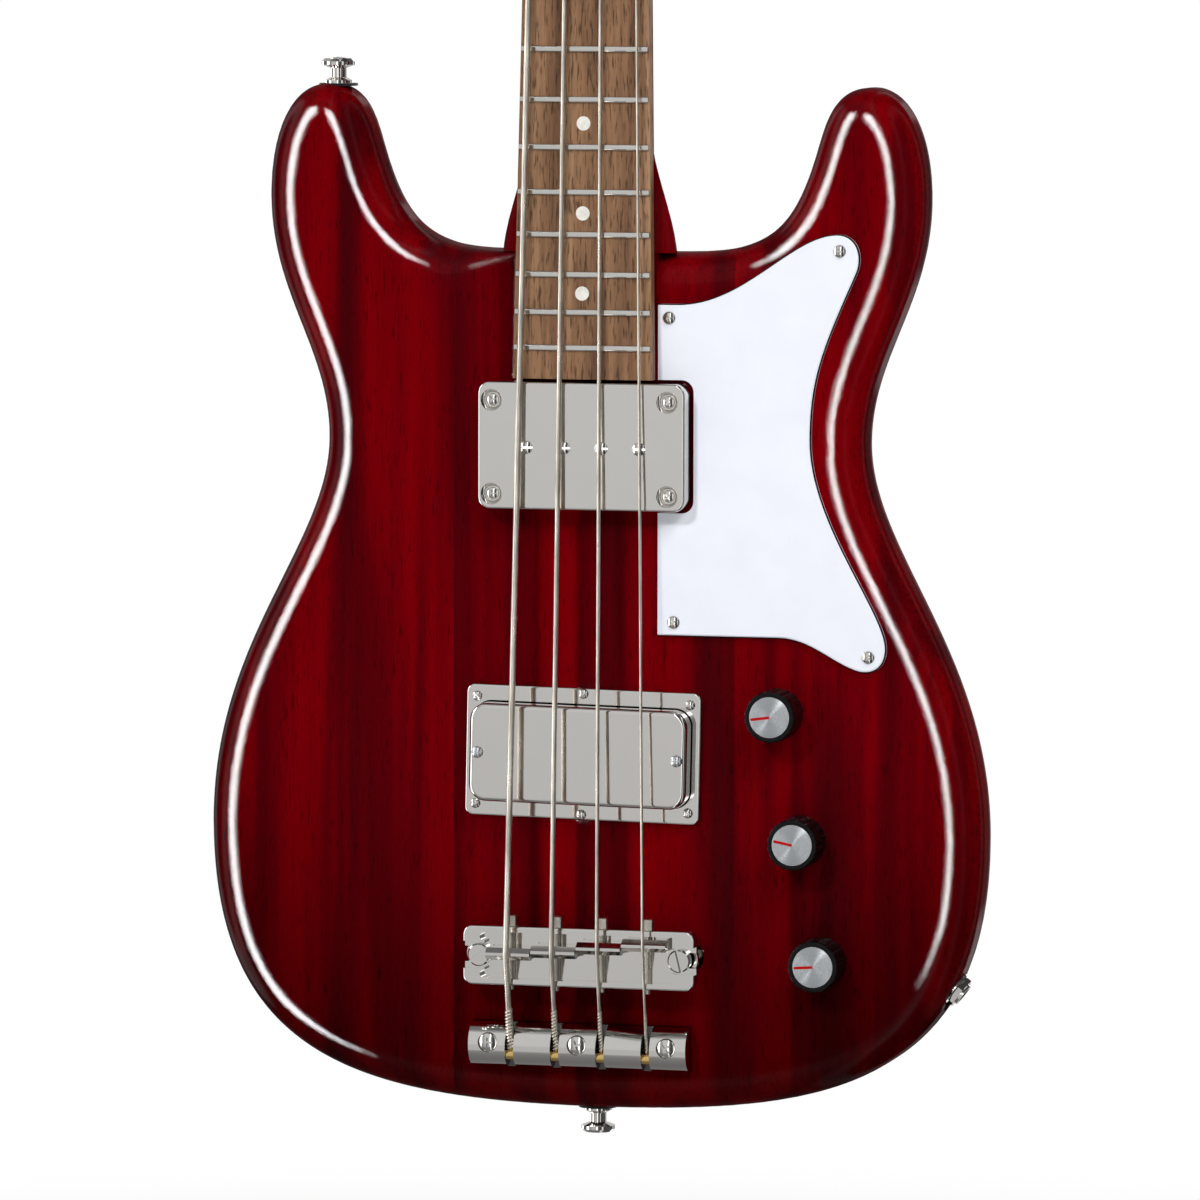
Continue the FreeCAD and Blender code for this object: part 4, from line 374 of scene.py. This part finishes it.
finishes = {
    mahogany: ["body"],
    neck_wood: ["neck"],
    board_wood: ["fingerboard"],
    fret_metal: ["frets"],
    pearl: ["fret_markers"],
    bone: ["nut"],
    steel: ["truss_rod"],
    black_plastic: ["truss_rod_cover"] + ["knob_" + name for name in KNOBS],
    cover_plastic: ["control_cover"],
    coil_tape: ["neck_pickup_coil", "bridge_pickup_coil"],
    guard_sheet: ["pickguard"],
    brass: ["string_ball_ends"],
    wound: ["strings"],
    thread: ["saddle_screw_" + name for name in STRINGS],
    zinc: ["potentiometers"] + ["pickup_height_screw_" + side for side in SIDES],
    aluminium: ["knob_metal_" + name for name in KNOBS],
    felt: ["strap_button_felts"],
    tail_nickel: ["tailpiece"],
}
finish_of = {name: material for material, names in finishes.items() for name in names}
for name, item in nodes.items():
    item.data.materials.clear()
    item.data.materials.append(finish_of.get(name, nickel))


# Small details

def new_item(name, data):
    """An object in the scene."""
    item = bpy.data.objects.new(name, data)
    scene.collection.objects.link(item)
    return item


def mesh_object(name, mesh, body, material, matrix):
    """A piece of the object that rides on a body."""
    item = new_item(name, mesh)
    mesh.materials.append(material)
    item.matrix_world = matrix
    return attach(item, body)


def finished_mesh(name, draft):
    """A mesh of what was drafted."""
    made = bpy.data.meshes.new(name)
    draft.to_mesh(made)
    draft.free()
    return made


def turned_mesh(name, profile, segments=64):
    """A mesh of (radius, height) corners turned around Z, closed where a radius is zero."""
    draft = bmesh.new()
    rings = []
    for radius, height in profile:
        count = segments if radius else 1
        rings.append([draft.verts.new((radius * math.cos(2 * math.pi * step / count),
                                       radius * math.sin(2 * math.pi * step / count), height))
                      for step in range(count)])
    for low, high in zip(rings, rings[1:]):
        for step in range(segments):
            corners = [low[step % len(low)], low[(step + 1) % len(low)],
                       high[(step + 1) % len(high)], high[step % len(high)]]
            draft.faces.new(list(dict.fromkeys(corners)))
    bmesh.ops.recalc_face_normals(draft, faces=draft.faces)
    for face in draft.faces:
        face.smooth = True
    return finished_mesh(name, draft)


def prism_mesh(name, outline, low, high):
    """A flat outline raised from one height to another."""
    draft = bmesh.new()
    bottom, top = ([draft.verts.new((x, y, height)) for x, y in outline] for height in (low, high))
    draft.faces.new(bottom)
    draft.faces.new(top)
    for step in range(len(outline)):
        draft.faces.new((bottom[step - 1], bottom[step], top[step], top[step - 1]))
    bmesh.ops.recalc_face_normals(draft, faces=draft.faces)
    return finished_mesh(name, draft)


def facing(point, direction, turn=0):
    """A matrix at a point whose Z looks along the direction."""
    look = direction.to_track_quat("Z", "Y").to_matrix().to_4x4()
    return Matrix.Translation(point) @ look @ Matrix.Rotation(turn, 4, "Z")


def loose_parts(draft):
    """The corners of each separate solid in a mesh, after its doubled corners are joined, in the mesh's own order."""
    bmesh.ops.remove_doubles(draft, verts=draft.verts, dist=1e-6)
    left = set(draft.verts)
    found = []
    for first in draft.verts:
        if first not in left:
            continue
        left.remove(first)
        stack = [first]
        group = []
        while stack:
            corner = stack.pop()
            group.append(corner)
            for edge in corner.link_edges:
                other = edge.other_vert(corner)
                if other in left:
                    left.remove(other)
                    stack.append(other)
        found.append(group)
    return found


def islands(name):
    """The points of each separate solid in a CAD node."""
    draft = bmesh.new()
    draft.from_mesh(nodes[name].data)
    found = [[corner.co.copy() for corner in group] for group in loose_parts(draft)]
    draft.free()
    return found


def screw_heads(name):
    """The top and the axis of each screw in a node: its tip is the point farthest from the many points of its head."""
    heads = []
    for points in islands(name):
        middle = sum(points, Vector()) / len(points)
        tip = max(points, key=lambda point: (point - middle).length)
        axis = (middle - tip).normalized()
        reach = max((point - tip).dot(axis) for point in points)
        heads.append((tip + axis * reach, axis))
    return heads


def cross_outline(arm, width):
    """A cross with four arms."""
    half = width / 2
    quarter = [(arm, -half), (arm, half), (half, half)]
    outline = []
    for step in range(4):
        turn = Matrix.Rotation(step * math.pi / 2, 2)
        outline += [tuple(turn @ Vector(corner)) for corner in quarter]
    return outline


def slot_outline(reach, width):
    """A straight slot across a screw's head."""
    half = width / 2
    return [(-reach, -half), (reach, -half), (reach, half), (-reach, half)]


def recess(name, outline, depth, turn=1.9):
    """Cut a driver's recess into each screw of a node, each one turned on from the last."""
    draft = bmesh.new()
    prism = prism_mesh(name + "_recess", outline, -depth, depth)
    for number, (top, axis) in enumerate(screw_heads(name)):
        start = len(draft.verts)
        draft.from_mesh(prism)
        draft.verts.ensure_lookup_table()
        bmesh.ops.transform(draft, matrix=facing(top, axis, turn * number), verts=draft.verts[start:])
    draft.to_mesh(prism)
    draft.free()
    cutter = new_item(name + "_recess", prism)
    cutter.hide_render = True
    cutter.hide_viewport = True
    cutting = nodes[name].modifiers.new("recess", "BOOLEAN")
    cutting.object = cutter
    cutting.solver = "EXACT"


# The arm and the width of each cross, and its depth
cross_recesses = {
    "oval_head_screws": (0.0013, 0.0005, 0.0008),
    "neck_pickup_screws": (0.0015, 0.0006, 0.0009),
    "tailpiece_screws": (0.0021, 0.0008, 0.0012),
    "strap_button_screws": (0.0020, 0.0008, 0.0012),
    "pickup_height_screw_bass": (0.0014, 0.0005, 0.0009),
    "pickup_height_screw_treble": (0.0014, 0.0005, 0.0009),
}
for name, (arm, width, depth) in cross_recesses.items():
    recess(name, cross_outline(arm, width), depth)
recess("neck_pickup_pole_screws", slot_outline(reach=0.004, width=0.0008), 0.0008, turn=0)


def rounded_bar(length, width, steps=6):
    """A thin bar along X with a round outer end."""
    half = width / 2
    outline = [(0, half), (0, -half), (length - half, -half)]
    outline += [(length - half + half * math.sin(math.pi * step / steps), -half * math.cos(math.pi * step / steps))
                for step in range(1, steps + 1)]
    return outline


# Each knob's turned face and its red pointer, as they stand in the photograph
pointer_turn = {"upper": math.radians(188), "middle": math.radians(169), "lower": math.radians(184)}
face_height, face_edge = 0.00006, 0.00001
pointer_low, pointer_high, pointer_width, pointer_margin = 0.00002, 0.00014, 0.0011, 0.0004
turned_faces = bpy.data.collections.new("turned_faces")
for name in KNOBS:
    body = name + "_knob"
    low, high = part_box("knob_metal_" + name)
    top = Vector(((low.x + high.x) / 2, low.y, (low.z + high.z) / 2))
    radius = (high.x - low.x) / 2
    profile = [(0, face_height), (radius * 0.5, face_height), (radius - 0.0003, face_height),
               (radius - 0.0001, face_edge)]
    face = turned_mesh("knob_face_" + name, profile)
    turned_faces.objects.link(mesh_object("knob_face_" + name, face, body, spun, facing(top, OUT)))
    bar = rounded_bar(radius - pointer_margin, pointer_width)
    pointer = prism_mesh("pointer_" + name, bar, pointer_low, pointer_high)
    turn = Matrix.Rotation(pointer_turn[name], 4, "Z")
    upright = Matrix.Translation(top) @ Matrix.Rotation(math.pi / 2, 4, "X") @ turn
    mesh_object("pointer_" + name, pointer, body, red_paint, upright)


def helix(name, start, end, radius, turns, phase, thickness):
    """The mesh of a wire wound around the line from start to end."""
    points_per_turn = 12
    way = end - start
    spin = way.to_track_quat("Z", "Y")
    count = int(turns * points_per_turn)
    curve = bpy.data.curves.new(name, "CURVE")
    curve.dimensions = "3D"
    curve.bevel_depth = thickness
    curve.bevel_resolution = 2
    spline = curve.splines.new("POLY")
    spline.points.add(count)
    for step, point in enumerate(spline.points):
        angle = phase + 2 * math.pi * turns * step / count
        around = spin @ Vector((radius * math.cos(angle), radius * math.sin(angle), 0))
        point.co = (*(start + way * step / count + around), 1)
    wire = bpy.data.objects.new(name + "_wire", curve)
    mesh = bpy.data.meshes.new_from_object(wire)
    bpy.data.objects.remove(wire)
    return mesh


def bending_piece(name, mesh):
    """A piece of a string in the wound finish, its place baked into its mesh."""
    item = new_item(name, mesh)
    mesh.materials.clear()
    mesh.materials.append(wound)
    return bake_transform(item)


def span_mesh(name, string, top, bottom):
    """The mesh of a string's part between two heights."""
    draft = string.copy()
    for height, normal in ((top, 1), (bottom, -1)):
        if height is not None:
            bmesh.ops.bisect_plane(draft, geom=draft.verts[:] + draft.edges[:] + draft.faces[:], dist=1e-7,
                                   plane_co=(0, 0, height), plane_no=(0, 0, normal), clear_outer=True)
    for face in draft.faces:
        face.smooth = True
    return finished_mesh(name, draft)


# The strings are cut into pieces at the bridge and the saddles that carry them. Each one ends in a lock twist at its
# ball.
string_radius = {"low": 0.0013, "second": 0.00105, "third": 0.0008, "high": 0.00058}
string_lift = 0.0003
twist_start, twist_end, twist_turns = 0.003, 0.021, 6
saddle_reach = 0.025
held_before, held_after = 0.004, 0.003
ball_reach = 0.006
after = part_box("bridge_frame")[0].z - 0.002
balls = sorted((sum(points, Vector()) / len(points) for points in islands("string_ball_ends")),
               key=lambda middle: middle.x)
all_strings = bmesh.new()
all_strings.from_mesh(nodes["strings"].data)
groups = sorted(loose_parts(all_strings), key=lambda group: min(group, key=lambda corner: corner.co.z).co.x)
all_strings.verts.index_update()
kept = [{corner.index for corner in group} for group in groups]
for name, ball, own in zip(STRINGS, balls, kept):
    string = all_strings.copy()
    bmesh.ops.delete(string, geom=[corner for corner in string.verts if corner.index not in own], context="VERTS")
    low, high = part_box("saddle_" + name)
    radius = string_radius[name]
    crest = Vector(((low.x + high.x) / 2, low.y - radius - string_lift, (low.z + high.z) / 2))
    saddle = name + "_saddle"
    before = crest.z + saddle_reach
    end_of_bend = ball.z + ball_reach
    spans = {
        "neck": (None, before, "guitar", "bridge", 0.0, before),
        "rise": (before, crest.z, "bridge", saddle, before, crest.z + held_before),
        "fall": (crest.z, after, saddle, "bridge", crest.z - held_after, after),
        "tail": (after, None, "bridge", "guitar", after, end_of_bend),
    }
    for part, (top, bottom, first, second, start, end) in spans.items():
        span = f"string_{name}_{part}"
        piece = bending_piece(span, span_mesh(span, string, top, bottom))
        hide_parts("strings")
    string.free()
    way = (crest - ball).normalized()
    for number in (1, 2):
        twist = f"lock_twist_{name}_{number}"
        wire = helix(twist, ball + way * twist_start, ball + way * twist_end, radius * 0.85, twist_turns,
                     number * math.pi, radius * 0.5)
        bending_piece(twist, wire)
all_strings.free()


# Floor, light and camera

aim = Vector((0, 0, -0.62))


def soft_light(name, power, size, azimuth, distance, height, diffuse=True, glossy=True, lit=None):
    """A rectangular lamp turned to the body, that lights the objects of one collection or everything.

    Azimuth 0 is straight in front and 90 on the thin strings' side.
    """
    lamp = bpy.data.lights.new(name, "AREA")
    lamp.shape = "RECTANGLE"
    lamp.size, lamp.size_y = size
    lamp.energy = power
    angle = math.radians(azimuth)
    point = Vector((distance * math.sin(angle), -distance * math.cos(angle), height))
    item = new_item(name, lamp)
    item.matrix_world = facing(point, point - aim)
    item.visible_camera = False
    item.visible_diffuse = diffuse
    item.visible_glossy = glossy
    if lit:
        item.light_linking.receiver_collection = lit


# Three lamps give the plain light. The strips draw the highlights on the body's rim, the glint those on the knobs.
lacquered = bpy.data.collections.new("lacquered")
lacquered.objects.link(nodes["body"])
soft_light("front_key", 50, (0.35, 0.35), azimuth=-14.4, distance=3.2, height=1.2, glossy=False)
soft_light("side_key", 47, (1.3, 1.3), azimuth=40, distance=2.2, height=1.28, glossy=False)
soft_light("back_fill", 170, (3.0, 3.0), azimuth=175, distance=4.5, height=0.8, glossy=False)
soft_light("left_strip", 2100, (0.9, 3.0), azimuth=-32.5, distance=3.0, height=-0.65, diffuse=False, lit=lacquered)
soft_light("right_strip", 2900, (1.15, 3.2), azimuth=-3.5, distance=6.0, height=-0.2, diffuse=False, lit=lacquered)
soft_light("knob_glint", 40, (0.7, 0.7), azimuth=26, distance=2.6, height=1.3, diffuse=False, lit=turned_faces)

# The room as polished faces see it: a grey wall in front on the left, three bright windows, dark top and bottom
ambient = (0.15, 0.15, 0.15, 1)
white = (1, 1, 1, 1)
world = bpy.data.worlds.new("studio")
scene.world = world
world.use_nodes = True
tree = world.node_tree
rays = add(tree, "LightPath")
way = add(tree, "SeparateXYZ", {"Vector": add(tree, "TexCoord").outputs["Generated"]})
across = spread(tree, way.outputs["X"], -1.0, 1.0)
along = spread(tree, way.outputs["Z"], -1.0, 1.0)
walls = ramp(tree, across, (0.0, 0.1), (0.03, 0.4), (0.04, 4.2), (0.10, 4.2), (0.11, 0.3), (0.2, 0.45), (0.26, 0.64),
             (0.38, 0.69), (0.515, 0.62), (0.525, 2.8), (0.57, 2.8), (0.58, 0.5), (0.65, 0.12), (0.78, 0.06),
             (0.84, 1.2), (0.9, 0.06), (1.0, 0.1))
levels = ramp(tree, along, (0.0, 0.25), (0.13, 0.35), (0.2, 0.45), (0.24, 0.82), (0.43, 0.85), (0.47, 1.0),
              (0.9, 1.0), (0.95, 0.35), (1.0, 0.2))
room = mix(tree, rays.outputs["Is Glossy Ray"], ambient, multiply(tree, walls, levels))
seen = calculate(tree, "MAXIMUM", rays.outputs["Is Camera Ray"], rays.outputs["Is Transmission Ray"])
sky = mix(tree, seen, room, white)
tree.links.new(sky, tree.nodes["Background"].inputs["Color"])


def pale_floor(level, near, far):
    """A pale floor under the hanging instrument, which passes into the white surroundings with distance."""
    mesh = bpy.data.meshes.new("floor")
    reach = 40
    mesh.from_pydata([(-reach, -reach, level), (reach, -reach, level), (reach, reach, level), (-reach, reach, level)],
                     [], [(0, 1, 2, 3)])
    material, tree, shader = new_material("pale_floor", Roughness=0.7, Specular_IOR_Level=0.0)
    speckle = noise(tree, place(tree), 30, 4)
    join(tree, ramp(tree, speckle, (0.3, colour(232, 232, 231)), (0.7, colour(240, 240, 239))), shader, "Base Color")
    flat = add(tree, "VectorMath", {0: place(tree), 1: (1, 1, 0)}, operation="MULTIPLY").outputs[0]
    distance = add(tree, "VectorMath", {0: flat}, operation="LENGTH").outputs["Value"]
    fade = spread(tree, distance, near, far, interpolation_type="SMOOTHSTEP")
    rays = add(tree, "LightPath")
    seen = calculate(tree, "MAXIMUM", rays.outputs["Is Camera Ray"], rays.outputs["Is Glossy Ray"])
    seen = calculate(tree, "MAXIMUM", seen, rays.outputs["Is Transmission Ray"])
    share = calculate(tree, "MULTIPLY", fade, seen)
    glow = add(tree, "Emission", {"Color": white, "Strength": 1.0}).outputs[0]
    mixed = add(tree, "MixShader", {0: share, 1: shader.outputs[0], 2: glow}).outputs[0]
    tree.links.new(mixed, tree.nodes["Material Output"].inputs["Surface"])
    mesh.materials.append(material)
    item = new_item("floor", mesh)
    item.visible_glossy = False


floor_drop = 0.16
pale_floor(cad_box[0].z - floor_drop, near=0.35, far=1.0)

# The camera stands where the photograph was taken: the frame's middle looks at this point of the face
view_point = Vector((0.004906, face_y, -0.634102))
view_yaw = math.radians(14.40)
view_pitch = math.radians(4.89)
view_roll = math.radians(0.08)
view_distance = 3.55974
pixels_per_metre = 2442.055
image_width = 1200
towards = Vector((math.sin(view_yaw) * math.cos(view_pitch), -math.cos(view_yaw) * math.cos(view_pitch),
                  math.sin(view_pitch)))
camera = bpy.data.cameras.new("camera")
camera.lens = camera.sensor_width * pixels_per_metre * view_distance / image_width
camera_item = new_item("camera", camera)
camera_item.matrix_world = facing(view_point + towards * view_distance, towards, view_roll)
scene.camera = camera_item
scene.view_settings.view_transform = "Standard"
